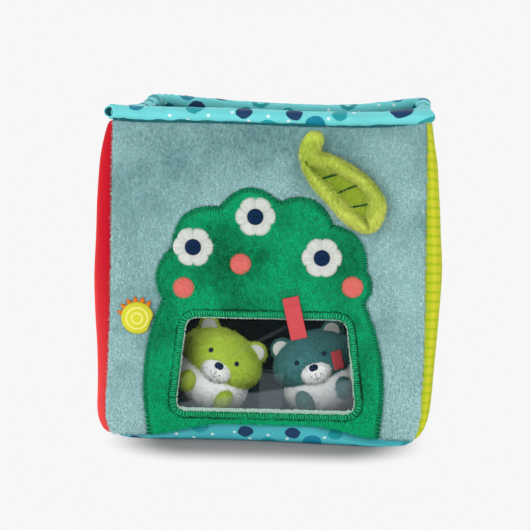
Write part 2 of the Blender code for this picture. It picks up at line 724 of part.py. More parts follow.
# The teal bear's small tag lies flat against its cheek
towards = Vector(TOY_TAG_TOWARDS)
stretch = 1 / Vector([part / radius for part, radius in zip(towards, HEAD_RADII)]).length
cheek = towards * stretch
normal = Vector([part / radius ** 2 for part, radius in zip(cheek, HEAD_RADII)]).normalized()
tag_turn = (-normal).to_track_quat("Y", "Z").to_matrix().to_4x4() @ Matrix.Rotation(TOY_TAG_TURN, 4, "Y")
tag_middle = Vector(HEAD_CENTRE) + cheek + normal * (SEAM + TOY_TAG_THICKNESS / 2)
tag = bmesh.new()
tag_size = Matrix.Diagonal((TOY_TAG_WIDTH, TOY_TAG_THICKNESS, TOY_TAG_LENGTH, 1))
bmesh.ops.create_cube(tag, size=1, matrix=Matrix.Translation(tag_middle) @ tag_turn @ tag_size)
object_of("toy_teal_tag", tag, CORAL, teal_frame)
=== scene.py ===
import math
import random
from contextlib import contextmanager
from functools import partial

import bmesh
import bpy
import numpy as np
from mathutils import Matrix, Quaternion, Vector, noise
from mathutils.geometry import intersect_point_line


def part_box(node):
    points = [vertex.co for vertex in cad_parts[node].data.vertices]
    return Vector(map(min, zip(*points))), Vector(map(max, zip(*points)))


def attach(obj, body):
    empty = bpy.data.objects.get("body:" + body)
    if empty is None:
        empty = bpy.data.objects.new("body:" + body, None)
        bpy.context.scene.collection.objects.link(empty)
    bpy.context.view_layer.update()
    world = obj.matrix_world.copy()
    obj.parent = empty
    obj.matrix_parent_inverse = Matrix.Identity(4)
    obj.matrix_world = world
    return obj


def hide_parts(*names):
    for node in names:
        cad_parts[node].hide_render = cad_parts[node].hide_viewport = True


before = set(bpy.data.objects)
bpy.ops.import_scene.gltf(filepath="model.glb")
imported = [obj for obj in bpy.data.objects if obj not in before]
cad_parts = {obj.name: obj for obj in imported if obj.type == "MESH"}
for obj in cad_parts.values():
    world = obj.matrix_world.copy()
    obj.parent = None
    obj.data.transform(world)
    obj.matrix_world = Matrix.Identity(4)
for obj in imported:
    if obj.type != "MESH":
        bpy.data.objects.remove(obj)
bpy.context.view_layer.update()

# Camera: on a stand about a metre from the cube, a little above its rim and to the right of its middle.
# The lens is a long one, as for a product picture, and it looks at the middle of the front panel.
PICTURE_SIDE = 530
FOCAL_PIXELS = 1500
CAMERA_SPOT = Vector((0.0458, -1.049, 0.238))
AIM_SPOT = Vector((-0.0013, -0.100, 0.1157))
CAMERA_ROLL = math.radians(0.7)
camera_data = bpy.data.cameras.new("camera")
camera_data.sensor_width = 36
camera_data.lens = camera_data.sensor_width * FOCAL_PIXELS / PICTURE_SIDE
camera = bpy.data.objects.new("camera", camera_data)
camera.location = CAMERA_SPOT
aimed = (AIM_SPOT - CAMERA_SPOT).to_track_quat("-Z", "Y")
camera.rotation_euler = (aimed @ Quaternion((0, 0, 1), CAMERA_ROLL)).to_euler()
bpy.context.scene.collection.objects.link(camera)
bpy.context.scene.camera = camera
bpy.context.scene.view_settings.view_transform = "Standard"

# Studio: a pale glowing table that runs into a plain pale backdrop, under large soft lamps on stands.
# None of it belongs to the cube.
TABLE_HALF = 6.0
PALE = (0.93, 0.93, 0.93, 1.0)
# Round the cube's footprint the table is matt and painted grey: a painted shadow that deepens the real one.
TABLE_SHADOW_GREY = (0.35, 0.325, 0.34, 1.0)
FOOTPRINT_HALVES = (0.045, 0.098, 0.0)
NEAR_TABLE = 0.020
FAR_TABLE = 0.062
ROOM_LIGHT = 0.16
LAMPS = (
    ((-0.50, -1.25, 0.42), 0.8, 8.6),
    ((0.80, -1.10, 0.34), 0.8, 6.0),
    ((0.00, 0.55, 1.45), 1.2, 13.0),
    ((-1.30, -0.30, 0.50), 0.7, 7.0),
    ((1.30, -0.30, 0.50), 0.7, 4.5),
)


def new_node(tree, kind, inputs=None, **settings):
    """Adds a shader node. An input is set to a value, or linked where it is given a pattern."""
    made = tree.nodes.new("ShaderNode" + kind)
    for name, value in settings.items():
        setattr(made, name, value)
    for name, value in (inputs or {}).items():
        if isinstance(value, Pattern):
            tree.links.new(value.socket, made.inputs[name])
        else:
            made.inputs[name].default_value = value
    return made


class Pattern:
    """What a material works out over its piece: a number, a place or a colour. Each step adds a node."""

    def __init__(self, node, output=0):
        self.socket = node.outputs[output]

    def step(self, kind, inputs, output=0, **settings):
        """Adds a node to the same material, and gives one of its outputs."""
        return Pattern(new_node(self.socket.id_data, kind, inputs, **settings), output)

    def __add__(self, other):
        return self.step("Math", {0: self, 1: other}, operation="ADD")

    def __sub__(self, other):
        return self.step("Math", {0: self, 1: other}, operation="SUBTRACT")

    def __rsub__(self, other):
        return self.step("Math", {0: other, 1: self}, operation="SUBTRACT")

    def __mul__(self, other):
        return self.step("Math", {0: self, 1: other}, operation="MULTIPLY")


def vectors(operation, first, second=(0.0, 0.0, 0.0), output=0):
    """One step of arithmetic with places."""
    return first.step("VectorMath", {0: first, 1: second}, output, operation=operation)


def eased(value, low, high):
    """0 up to low, 1 from high on, with a smooth rise between them."""
    inputs = {"Value": value, "From Min": low, "From Max": high}
    return value.step("MapRange", inputs, interpolation_type="SMOOTHSTEP")


def surface_of(tree, shader):
    """Makes a shader the one that a material shows."""
    tree.links.new(shader.socket, tree.nodes["Material Output"].inputs["Surface"])


def placed_mesh(name, bm, paint):
    """Turns a bmesh into a smooth-shaded object at the origin."""
    mesh = bpy.data.meshes.new(name)
    bm.to_mesh(mesh)
    bm.free()
    mesh.shade_smooth()
    mesh.materials.append(paint)
    made = bpy.data.objects.new(name, mesh)
    bpy.context.scene.collection.objects.link(made)
    return made


def bright(tree):
    """A plain pale glow, on which no shadow falls."""
    return Pattern(new_node(tree, "Emission", {"Color": PALE, "Strength": 1.0}))


def studio_sheet(name, paint, place=Matrix.Identity(4)):
    """One of the studio's two large flat sheets."""
    bm = bmesh.new()
    bmesh.ops.create_grid(bm, x_segments=1, y_segments=1, size=TABLE_HALF, matrix=place)
    placed_mesh(name, bm, paint)


# Matt and painted grey near the footprint, as painted shadow over the real shadow; further out an even glow.
table_paint = bpy.data.materials.new("table_with_shadow_zone")
table_paint.use_nodes = True
tree = table_paint.node_tree
matt = tree.nodes["Principled BSDF"]
matt.inputs["Base Color"].default_value = TABLE_SHADOW_GREY
matt.inputs["Roughness"].default_value = 0.9
spot = Pattern(new_node(tree, "TexCoord"), "Object")
beyond = vectors("SUBTRACT", vectors("ABSOLUTE", spot), FOOTPRINT_HALVES)
away = vectors("LENGTH", vectors("MAXIMUM", beyond), output="Value")
far = eased(away, NEAR_TABLE, FAR_TABLE)
surface_of(tree, far.step("MixShader", {0: far, 1: Pattern(matt), 2: bright(tree)}))
studio_sheet("table", table_paint)

backdrop_paint = bpy.data.materials.new("backdrop")
backdrop_paint.use_nodes = True
surface_of(backdrop_paint.node_tree, bright(backdrop_paint.node_tree))
upright = Matrix.Translation((0, TABLE_HALF, 0)) @ Matrix.Rotation(math.radians(90), 4, "X")
studio_sheet("backdrop", backdrop_paint, upright)

world = bpy.data.worlds.new("room")
world.use_nodes = True
sky = world.node_tree.nodes["Background"]
sky.inputs["Color"].default_value = (1.0, 1.0, 1.0, 1.0)
sky.inputs["Strength"].default_value = ROOM_LIGHT
bpy.context.scene.world = world
for number, (spot, size, power) in enumerate(LAMPS):
    lamp = bpy.data.lights.new(f"lamp_{number}", "AREA")
    lamp.shape = "SQUARE"
    lamp.size = size
    lamp.energy = power
    holder = bpy.data.objects.new(f"lamp_{number}", lamp)
    holder.location = spot
    holder.rotation_euler = (AIM_SPOT - Vector(spot)).to_track_quat("-Z", "Y").to_euler()
    bpy.context.scene.collection.objects.link(holder)

# Base: a board of foam in a tray of printed cotton, which shows as a strip under the front panel.
# The cotton is printed with staggered dots, rings and small white pips, and its lower edge is rounded.
BASE_WIDTH = 0.206
TOP_WIDTH = 0.200
DEPTH = 0.200
PANEL_HEIGHT = 0.196
WALL_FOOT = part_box("front_cover")[0].z
BACK_SPREADS = (0.0125, -0.0005)
SIDE_BOW = 0.001
RIM_LIFTS = (0.0022, 0.0044, 0.0086, 0.0074)
LIFT_POWERS = ((7, 7), (7, 2), (2.6, 2), (1.6, 6))
RIM_WAVES = (0.0009, 0.0005, -0.0010, -0.0006)
CORNER_TUCK = 0.007
CORNER_ROUND = 0.020
WELD_REACH = 0.00002
TUCK_ROUND_SHARE = 0.97
TUCK_DEPTH_SHARE = 0.3
COTTON = 0.0012
TRAY_COLUMNS = 60
TRAY_ROWS = 16
TRAY_CUT = 0.022
TRAY_UNDER_SHARE = 0.35
TRAY_ROUND = 0.004
TRAY_TOP = 0.0125
TRAY_BELLY = 0.0016
TRAY_SETBACK = 0.0012
TRAY_RIPPLE = 0.0006
TRAY_BOXINESS = 24
TRAY_PUFFS = (0.0030, 0.0036, 0.0030, 0.0028, 0.0036, 0.0062, 0.0088, 0.0116, 0.0085)
CORNER_FOOT = 0.0022
FOOT_ARCHES = (0.0094, 0.0020, 0.0050, 0.0020)
ARCH_FROM, ARCH_RUN = 0.08, 0.29
DOT_PITCH = 0.0225
DOT_RADIUS_SHARE = 0.27
DOT_SPREAD_SHARE = 0.12
DOT_BLUR_SHARE = 0.012
RING_WIDTH_SHARE = 0.17
PIP_PITCH = 0.0125
PIP_SHIFT = (0.004, 0.007, 0.0)
PRINT_SWAY = 0.0022
AQUA = (0.15, 0.62, 0.64, 1.0)
# The tray's ground is the rim's aqua darkened: painted shade under the front panel.
SHADED_BASE_AQUA = (0.065, 0.46, 0.52, 1.0)
TEAL_DOT = (0.0, 0.20, 0.31, 1.0)
GREEN_DOT = (0.01, 0.30, 0.33, 1.0)
NAVY_DOT = (0.004, 0.035, 0.11, 1.0)
PIP_WHITE = (0.62, 0.80, 0.80, 1.0)
PRINT_SHADE = (0.02, 0.10, 0.12, 1.0)
# Painted shade: the dark teal of the cotton in the fold under the rim roll and inside the roll.
FOLD_SHADE_DARK = (0.001, 0.040, 0.050, 1.0)
FOLD_SHADE_LIGHT = (0.012, 0.150, 0.172, 1.0)


def corner(k, v):
    """Corner k of the box in plan at height share v: front left, front right, back right, back left."""
    k %= 4
    half = (BASE_WIDTH + (TOP_WIDTH - BASE_WIDTH) * v) / 2
    low = min(max(1 - v * PANEL_HEIGHT / CORNER_ROUND, 0), 1)
    tuck = CORNER_TUCK * (1 - math.sqrt(1 - low * low * TUCK_ROUND_SHARE))
    lean = BACK_SPREADS[k - 2] * v * v if k in (2, 3) else 0
    x = (half - tuck) * (1 if k in (1, 2) else -1) + lean
    return Vector((x, (DEPTH / 2 - tuck * TUCK_DEPTH_SHARE) * (1 if k in (2, 3) else -1)))


def outward_of(way):
    """The direction out from a wall that runs along a way."""
    return Vector((way.y, -way.x))


def inset_corner(k, v, inset):
    """The same corner, drawn in by inset from both of its walls."""
    here = corner(k, v)
    before = outward_of((here - corner(k - 1, v)).normalized())
    after = outward_of((corner(k + 1, v) - here).normalized())
    return here - (before + after) * inset / (1 + before.dot(after))


def wall_line(side, v, inset):
    """A wall's line in plan at height share v: where it starts and ends, and the direction out from it."""
    start, end = inset_corner(side, v, inset), inset_corner(side + 1, v, inset)
    return start, end, outward_of((end - start).normalized())


def bow(side, u):
    """How far a side wall as a whole curves out in plan. The front and the back run straight."""
    return 0 if side in (0, 2) else SIDE_BOW * math.sin(math.pi * u) ** 2


def thickened(piece, thickness):
    """Gives a sheet its thickness, inwards from its face."""
    solid = piece.modifiers.new("thickness", "SOLIDIFY")
    solid.thickness = thickness
    solid.offset = -1


def sewn(name, columns, rows, size, place, paint, thickness=0.0, weld=False):
    """A cloth grid whose points (u, v), each from 0 to 1, go where place says. Its map is in metres."""
    bm = bmesh.new()
    bmesh.ops.create_grid(bm, x_segments=columns, y_segments=rows, size=0.5)
    cloth_map = bm.loops.layers.uv.new("ClothMap")
    for face in bm.faces:
        for loop in face.loops:
            loop[cloth_map].uv = ((loop.vert.co.x + 0.5) * size[0], (loop.vert.co.y + 0.5) * size[1])
    for vert in bm.verts:
        vert.co = place(vert.co.x + 0.5, vert.co.y + 0.5)
    if weld:
        bmesh.ops.remove_doubles(bm, verts=bm.verts, dist=WELD_REACH)
    made = placed_mesh(name, bm, paint)
    if thickness:
        thickened(made, thickness)
    return made


@contextmanager
def reworked(piece):
    """Opens a piece's mesh as a bmesh, and puts it back."""
    bm = bmesh.new()
    bm.from_mesh(piece.data)
    yield bm
    bm.to_mesh(piece.data)
    bm.free()


def fabric_paint(name, roughness, specular=0.25, sheen=0.0):
    """A cloth material that has no pattern yet."""
    made = bpy.data.materials.new(name)
    made.use_nodes = True
    shader = made.node_tree.nodes["Principled BSDF"]
    shader.inputs["Roughness"].default_value = roughness
    shader.inputs["Specular IOR Level"].default_value = specular
    shader.inputs["Sheen Weight"].default_value = sheen
    return made


def on_object(paint):
    """Places in the object's frame, in metres."""
    return Pattern(new_node(paint.node_tree, "TexCoord"), "Object")


def on_cloth(paint):
    """Places on a piece's cloth as it was cut, in metres."""
    return Pattern(new_node(paint.node_tree, "UVMap", uv_map="ClothMap"))


def coloured(paint, colour, height=None, distance=0.0, strength=1.0):
    """Gives a cloth its colours, and raises it by a height pattern, distance metres for a height of 1."""
    shader = paint.node_tree.nodes["Principled BSDF"]
    paint.node_tree.links.new(colour.socket, shader.inputs["Base Color"])
    if height:
        raised = height.step("Bump", {"Height": height, "Distance": distance, "Strength": strength})
        paint.node_tree.links.new(raised.socket, shader.inputs["Normal"])
    return paint


def maths(operation, first, second=0.0):
    """One step of arithmetic with numbers, where no plain sign says it."""
    return first.step("Math", {0: first, 1: second}, operation=operation)


def clamped(value):
    """A number kept between 0 and 1."""
    return value.step("Clamp", {"Value": value})


def blended(share, first, second):
    """A colour between two others."""
    return share.step("Mix", {"Factor": share, 6: first, 7: second}, 2, data_type="RGBA")


def parts(whole, kind="SeparateXYZ"):
    """The three parts of a place, or with SeparateColor of a colour."""
    split = new_node(whole.socket.id_data, kind, {0: whole})
    return [Pattern(split, k) for k in range(3)]


def wave(value, pitch):
    """A wave from -1 to 1, one to each pitch."""
    return maths("SINE", value * (2 * math.pi / pitch))


def mapped(places, **inputs):
    """The same places, moved, turned or stretched."""
    return places.step("Mapping", {"Vector": places, **inputs})


def mottled(places, scale, detail, roughness=0.5, output=0):
    """Soft random patches from 0 to 1, about so many to the metre."""
    inputs = {"Vector": places, "Scale": scale, "Detail": detail, "Roughness": roughness}
    return places.step("TexNoise", inputs, output)


def swayed(places, scale, detail, reach, level=0.5):
    """The same places, each moved by a soft noise: at its level by nothing, and at 1 more by reach."""
    drift = vectors("SUBTRACT", mottled(places, scale, detail, output="Color"), (level,) * 3)
    return vectors("ADD", places, vectors("MULTIPLY", drift, (reach,) * 3))


def weave_of(places, threads):
    """A plain weave of so many threads to the metre, as a height from 0 to 1."""
    across, along, _ = parts(places)
    return wave(across, 2 / threads) * wave(along, 2 / threads) * 0.5 + 0.5


def dot_cells(places, pitch, turn, wobble):
    """A staggered lattice: how far the nearest middle is, as a share of the pitch, and its own numbers."""
    turned = mapped(places, Rotation=(0, 0, math.radians(turn)))
    inputs = {"Vector": turned, "Scale": 1 / pitch, "Randomness": wobble}
    cells = new_node(turned.socket.id_data, "TexVoronoi", inputs, voronoi_dimensions="2D")
    return Pattern(cells, "Distance"), parts(Pattern(cells, "Color"), "SeparateColor")


def printed_cotton(name, ground):
    """Turquoise cotton printed with dots in three darker blues, rings and white pips."""
    made = fabric_paint(name, 0.6, 0.2)
    flat = on_cloth(made)
    away, chance = dot_cells(swayed(flat, 160.0, 1.0, PRINT_SWAY), DOT_PITCH, 45, 0.45)
    size = chance[1] * DOT_SPREAD_SHARE + (DOT_RADIUS_SHARE - DOT_SPREAD_SHARE / 2)
    dot = 1 - eased(away - size, -DOT_BLUR_SHARE, DOT_BLUR_SHARE)
    middle = 1 - eased(away - (size - RING_WIDTH_SHARE), -DOT_BLUR_SHARE, DOT_BLUR_SHARE)
    ring = clamped(dot - middle * maths("GREATER_THAN", chance[1], 0.72))
    tint = blended(maths("GREATER_THAN", chance[0], 0.38), TEAL_DOT, GREEN_DOT)
    tint = blended(maths("GREATER_THAN", chance[0], 0.70), tint, NAVY_DOT)
    far, pip_chance = dot_cells(mapped(flat, Location=PIP_SHIFT), PIP_PITCH, 20, 0.9)
    pip = (1 - eased(far, 0.075, 0.11)) * maths("GREATER_THAN", pip_chance[0], 0.45)
    deep, pale = ((*(part * gain for part in ground[:3]), 1.0) for gain in (0.84, 1.14))
    colour = blended(mottled(flat, 40.0, 2.0), deep, pale)
    colour = blended(pip, colour, PIP_WHITE)
    colour = blended(ring, colour, tint)
    threads = weave_of(flat, 2600)
    colour = blended(threads * 0.10, colour, PRINT_SHADE)
    return coloured(made, colour, threads, 0.00008, 0.6)


print_paint = printed_cotton("printed_cotton", AQUA)
# The tray's print is the same, on a darker ground that is painted shade.
shaded_base_print = printed_cotton("shaded_base_cotton", SHADED_BASE_AQUA)
# The same cotton painted dark teal, as painted shade in the fold under the roll and inside it.
shaded_cotton = fabric_paint("shaded_cotton", 0.7, 0.15)
coloured(shaded_cotton, blended(mottled(on_cloth(shaded_cotton), 45.0, 3.0), FOLD_SHADE_DARK, FOLD_SHADE_LIGHT))


def eased_through(points, t, closed):
    """A smooth curve through points, t from 0 to 1."""
    count = len(points)
    steps = count if closed else count - 1
    k = max(min(int(t * steps), steps - 1), 0)
    t = t * steps - k
    near = [(k + j) % count if closed else min(max(k + j, 0), count - 1) for j in (-1, 0, 1, 2)]
    before, here, there, after = (Vector(points[j]) for j in near)
    square = 2 * before - 5 * here + 4 * there - after
    cube = 3 * here - before - 3 * there + after
    return 0.5 * (2 * here + (there - before) * t + square * t ** 2 + cube * t ** 3)


def size_along(sizes, t):
    """A smooth run through sizes, t from 0 to 1."""
    return eased_through([(size, 0) for size in sizes], t, False).x


def wall_foot(side, u):
    """The height of a cover's lower edge, which hangs lowest at the corners."""
    share = min(max((min(u, 1 - u) - ARCH_FROM) / ARCH_RUN, 0), 1)
    return CORNER_FOOT + FOOT_ARCHES[side] * share ** 2 * (3 - 2 * share)


def tray_spot(u, v):
    """Round the tray anticlockwise from the front left corner, and up from its underside to its top edge."""
    side = min(int(u * 4), 3)
    along = u * 4 - side
    angle = min(v / TRAY_UNDER_SHARE, 1) * math.pi / 2
    rise = max(v - TRAY_UNDER_SHARE, 0) / (1 - TRAY_UNDER_SHARE)
    height = TRAY_ROUND * (1 - math.cos(angle)) + (TRAY_TOP - TRAY_ROUND) * rise
    inset = TRAY_SETBACK + TRAY_ROUND * (1 - math.sin(angle))
    if side != 0:
        inset -= TRAY_BELLY * math.sin(math.pi * rise)
    start, end, outward = wall_line(side, max(height - WALL_FOOT, 0) / PANEL_HEIGHT, inset)
    away = bow(side, along)
    if side == 0:
        seam = min(height / wall_foot(0, along), 1)
        across = 1 - abs(2 * along - 1) ** TRAY_BOXINESS
        away += size_along(TRAY_PUFFS, along) * math.sqrt(across * (1 - seam ** 2))
    spot = start.lerp(end, along) + outward * away
    ripple = TRAY_RIPPLE * noise.noise(Vector((spot.x * 60, spot.y * 60, height * 90)))
    return Vector((*(spot + outward * ripple), height))


tray_size = (4 * DEPTH, TRAY_CUT)
tray = sewn("base_tray", 4 * TRAY_COLUMNS, TRAY_ROWS, tray_size, tray_spot, shaded_base_print, weld=True)
with reworked(tray) as bm:
    low_edge = [edge for edge in bm.edges if edge.is_boundary and edge.verts[0].co.z < 0.0001]
    bmesh.ops.contextual_create(bm, geom=low_edge)
thickened(tray, COTTON)
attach(tray, "cube")
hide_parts("base_cover")

# Walls: a stretched cover over a sheet of wadding and a thin lining on each side. The front and back are
# grey-green plush, the left is red knit and the right yellow cotton with a lime check.
BELLIES = (
    (0.0,),
    (0.0051, 0.0064, 0.0077, 0.0095, 0.0108, 0.0097, 0.0079, 0.0060, 0.0022),
    (0.0040,),
    (0.0078, 0.0079, 0.0096, 0.0120, 0.0129, 0.0121, 0.0117, 0.0099, 0.0054),
)
PLAN_BOXINESS = (2, 16, 2.6, 12)
UPRIGHT_BOXINESS = (2, 24, 2.6, 24)
EDGE_STRETCH = 0.4
FOOT_PULL = 0.0026
FOOT_PULL_SHARE = 0.22
SEAM_CURL = 0.0045
CURL_DEPTH = 0.0016
WALL_DENT = 0.0012
WALL_PUCKER = 0.00035
SLACK_FROM = 0.02
SEAM_SINKS = (0.0008, 0.0018, 0.0010, 0.0018)
TOP_SINK = 0.0006
WALL_CELLS = 120
FRONT_CREASES = (
    ((0.0785, 0.084), 0.011, math.radians(97), 0.0019, 0.0042),
    ((0.0710, 0.082), 0.010, math.radians(68), 0.0013, 0.0028),
    ((0.0614, 0.038), 0.012, math.radians(112), 0.0017, 0.0019),
    ((0.0665, 0.034), 0.010, math.radians(108), 0.0013, 0.0017),
    ((0.0800, 0.031), 0.009, math.radians(152), 0.0015, 0.0030),
    ((-0.003, 0.182), 0.018, math.radians(42), 0.0014, 0.0070),
    ((0.0600, 0.170), 0.016, math.radians(140), 0.0012, 0.0060),
    ((-0.080, 0.140), 0.022, math.radians(75), 0.0012, 0.0070),
)
COVER_CLOTH = 0.0014
WADDING_CELLS = 24
WADDING_SETBACK = 0.0018
WADDING_FULLNESS_SHARE = 0.97
WADDING_THICKNESS = 0.0045
LINING_CELLS = 40
LINING_INSET = 0.0092
LINING_CLOTH = 0.0006
SIDES = ("front", "right", "back", "left")
WINDOW_SHARE = 0.18
PLUSH_DARK = (0.12, 0.255, 0.262, 1.0)
PLUSH_LIGHT = (0.255, 0.465, 0.470, 1.0)
NAP_SWAY = 0.004
RED = (0.82, 0.050, 0.042, 1.0)
# Painted light: the red is brighter and fuller low down, as if lit from the table.
TABLE_LIT_RED = (1.0, 0.120, 0.110, 1.0)
RED_SHADE = (0.48, 0.005, 0.018, 1.0)
SEAM_SHADE_TO = 0.024
TABLE_LIGHT_TO = 0.14
KNIT_RIB = 0.0011
KNIT_STITCH = 0.0009
KNIT_SLANT = 0.0005
YELLOW = (0.54, 0.535, 0.030, 1.0)
CHECK_LIME = (0.32, 0.44, 0.010, 1.0)
CHECK_PALE = (0.50, 0.60, 0.02, 1.0)
CHECK_SHADE = (0.30, 0.38, 0.01, 1.0)
CHECK_PITCH = 0.0059
FLECK_GREEN = (0.03, 0.22, 0.10, 1.0)
FLECK_PITCH = 0.009
# The lining's teal is darker than the cloth: painted shade inside the cube and on its floor.
SHADED_LINING_TEAL = (0.001, 0.040, 0.042, 1.0)
LINING_DOT = (0.0, 0.012, 0.020, 1.0)
LINING_THREAD = (0.002, 0.06, 0.065, 1.0)
LINING_DOT_PITCH = 0.019
WADDING_DARK = (0.55, 0.55, 0.53, 1.0)
WADDING_LIGHT = (0.88, 0.88, 0.86, 1.0)
FACING_FROM = 0.186


def hump(away, width):
    """1 at no distance away, and smoothly less over a width."""
    return math.exp(-(away / width) ** 2)


def belly(side, u, v):
    """How far the stuffed outer face swells out."""
    across = 1 - abs(2 * u - 1) ** PLAN_BOXINESS[side]
    upright = 1 - abs(2 * v - 1) ** UPRIGHT_BOXINESS[side]
    return size_along(BELLIES[side], v) * math.sqrt(max(across * upright, 0))


def drawn_out(share):
    """Where a share of the cloth lies in plan: a swelling side takes up more cloth near its seams."""
    return share - EDGE_STRETCH * math.sin(2 * math.pi * share) / (2 * math.pi)


def wall_top(side, spot):
    """The height of a wall over a spot of the plan. The rim rises towards each corner, in a slow wave."""
    start, end = corner(side, 1), corner(side + 1, 1)
    along = (end - start) / (end - start).length_squared
    from_middle = 2 * min(max((spot - start).dot(along), 0), 1) - 1
    nearer = RIM_LIFTS[side] if from_middle < 0 else RIM_LIFTS[(side + 1) % 4]
    lift = nearer * abs(from_middle) ** LIFT_POWERS[side][from_middle > 0]
    wave = -RIM_WAVES[side] * math.sin(math.pi * from_middle)
    return WALL_FOOT + PANEL_HEIGHT + lift + wave


def curl(distance, sink):
    """Where cloth at a distance from its seam lies: how far along, and how deep it has turned in."""
    if distance >= SEAM_CURL:
        return distance, 0
    angle = distance / SEAM_CURL * math.pi / 2
    return sink + (SEAM_CURL - sink) * (1 - math.cos(angle)), max(sink, CURL_DEPTH) * (1 - math.sin(angle))


def front_crease(x, z):
    """How deep the folds that the front panel and its applique share are at (x, z)."""
    deepest = 0
    for middle, half_length, lean, depth, width in FRONT_CREASES:
        away = Vector((x, z)) - Vector(middle)
        way = Vector((math.cos(lean), math.sin(lean)))
        deepest += depth * hump(away.dot(way), half_length) * hump(away.x * way.y - away.y * way.x, width)
    return deepest


def soft_waves(side, spot):
    """The slack of a cover: broad dents, and small puckers."""
    broad = noise.noise(Vector((spot.x * 16, spot.y * 16, spot.z * 16 + side * 7)))
    small = noise.noise(Vector((spot.x * 55, spot.y * 55, spot.z * 45 - side * 5)))
    fold = front_crease(spot.x, spot.z) if side == 0 else 0
    return WALL_DENT * broad + WALL_PUCKER * small - fold


def cover_corner(k, v):
    """A corner of the covers. Those at the front are pulled a little to the left near their foot."""
    pull = FOOT_PULL * hump(v, FOOT_PULL_SHARE) if k % 4 in (0, 1) else 0
    return corner(k, v) - Vector((pull, 0))


def cover_spot(side, u, v):
    """A point of a cover, with its edges turned into the seams."""
    if side in (1, 3):
        u = drawn_out(u)
    start, end = cover_corner(side, v), cover_corner(side + 1, v)
    length = (end - start).length
    way = (end - start) / length
    outward = outward_of(way)
    nearest = min(u, 1 - u) * length
    along, depth = curl(nearest, SEAM_SINKS[side])
    spot = start + way * (along if u < 0.5 else length - along)
    spot += outward * (bow(side, u) + belly(side, u, v))
    foot, top = wall_foot(side, u), wall_top(side, spot)
    risen = (top - foot) * v
    up, tucked = curl(min(risen, top - foot - risen), TOP_SINK)
    here = Vector((*spot, foot + up if v < 0.5 else top - up))
    settled = max(min(SLACK_FROM, nearest, risen, top - foot - risen), 0) / SLACK_FROM
    depth = max(depth, tucked * 0.8) - soft_waves(side, here) * settled
    return here - Vector((*outward, 0)) * depth


def flat_layer_spot(side, u, v, inset, fullness):
    """A point of a wall's inner layers."""
    if side in (1, 3):
        u = drawn_out(u)
    start, end, outward = wall_line(side, v, inset)
    spot = start.lerp(end, u) + outward * (bow(side, u) + belly(side, u, v) * fullness)
    return Vector((*spot, WALL_FOOT + (wall_top(side, spot) - WALL_FOOT) * v))


def plush_paint(name, dark, light, strand=(1500, 420), turn=0.0, relief=0.0006):
    """Short brushed pile: fine strands drawn out along the nap, in soft patches that lie differently."""
    made = fabric_paint(name, 0.85, 0.15)
    spot = on_object(made)
    swept = swayed(spot, 55.0, 2.0, NAP_SWAY)
    across, along = strand
    drawn = mapped(swept, Rotation=(0, math.radians(turn), 0), Scale=(across, across, along))
    height = mottled(drawn, 1.0, 3.0, 0.6) * 0.65 + mottled(swept, 420.0, 2.0) * 0.35
    shade = clamped(height * 1.5 + mottled(spot, 38.0, 3.0) * 1.1 - 0.80)
    return coloured(made, blended(shade, dark, light), height, relief, 0.8)


def knit_paint(name, colour, shade, run):
    """Smooth fine knit of small upright ribs, with painted shade near the seams at both ends of its run."""
    made = fabric_paint(name, 0.8, 0.08)
    flat = on_cloth(made)
    across, up, _ = parts(flat)
    rib = wave(across, KNIT_RIB)
    stitch = wave(maths("ABSOLUTE", rib) * KNIT_SLANT + up, KNIT_STITCH)
    height = stitch * 0.25 + rib * 0.25 + 0.5
    even = eased(height * 0.12 + mottled(flat, 22.0, 3.0) * 0.80, 0.0, 0.50)
    # Painted shade beside the seams, and painted light from the table low down.
    from_seam = maths("PINGPONG", across, run / 2)
    raised = eased(up, 0.0, TABLE_LIGHT_TO)
    lit = clamped(even * eased(from_seam, 0.0, SEAM_SHADE_TO) + (1 - raised) * 0.40)
    return coloured(made, blended(lit, shade, blended(raised, TABLE_LIT_RED, colour)), height, 0.00012, 0.7)


def check_paint():
    """Yellow cotton woven with lime bands both ways, and a few tiny dark flecks."""
    made = fabric_paint("lime_check", 0.8, 0.06)
    flat = on_cloth(made)
    upright, level = (eased(wave(along, CHECK_PITCH), 0.25, 0.75) for along in parts(flat)[:2])
    colour = blended(clamped(upright * 0.42 + level * 0.62), YELLOW, CHECK_LIME)
    colour = blended(eased(mottled(flat, 30.0, 3.0), 0.5, 0.75) * 0.25, colour, CHECK_PALE)
    away, chance = dot_cells(flat, FLECK_PITCH, 0, 1.0)
    fleck = (1 - eased(away, 0.03, 0.055)) * maths("GREATER_THAN", chance[0], 0.5)
    colour = blended(fleck, colour, FLECK_GREEN)
    threads = weave_of(flat, 1900)
    colour = blended(threads * 0.10, colour, CHECK_SHADE)
    return coloured(made, colour, threads, 0.0001, 0.6)


def lining_paint():
    """Dark teal cotton deepened as painted shade, with a faint darker dot and a grey-green plush facing its
    top.
    """
    made = fabric_paint("dark_lining", 0.9, 0.1)
    flat = on_cloth(made)
    away, _ = dot_cells(flat, LINING_DOT_PITCH, 45, 0.2)
    threads = weave_of(flat, 1800)
    colour = blended((1 - eased(away, 0.33, 0.36)) * 0.8, SHADED_LINING_TEAL, LINING_DOT)
    colour = blended(threads * 0.2, colour, LINING_THREAD)
    _, height, _ = parts(flat)
    facing = blended(mottled(flat, 900.0, 3.0), PLUSH_DARK, PLUSH_LIGHT)
    colour = blended(eased(height, FACING_FROM, FACING_FROM + 0.0005), colour, facing)
    return coloured(made, colour, threads, 0.00015, 0.6)


def matted_paint(name, dark, light, roughness, sheen, scale, detail, distance, strength=1.0):
    """Fibre matted together, as wadding or felt is."""
    made = fabric_paint(name, roughness, sheen=sheen)
    fluff = mottled(on_object(made), scale, detail)
    return coloured(made, blended(fluff, dark, light), fluff, distance, strength)


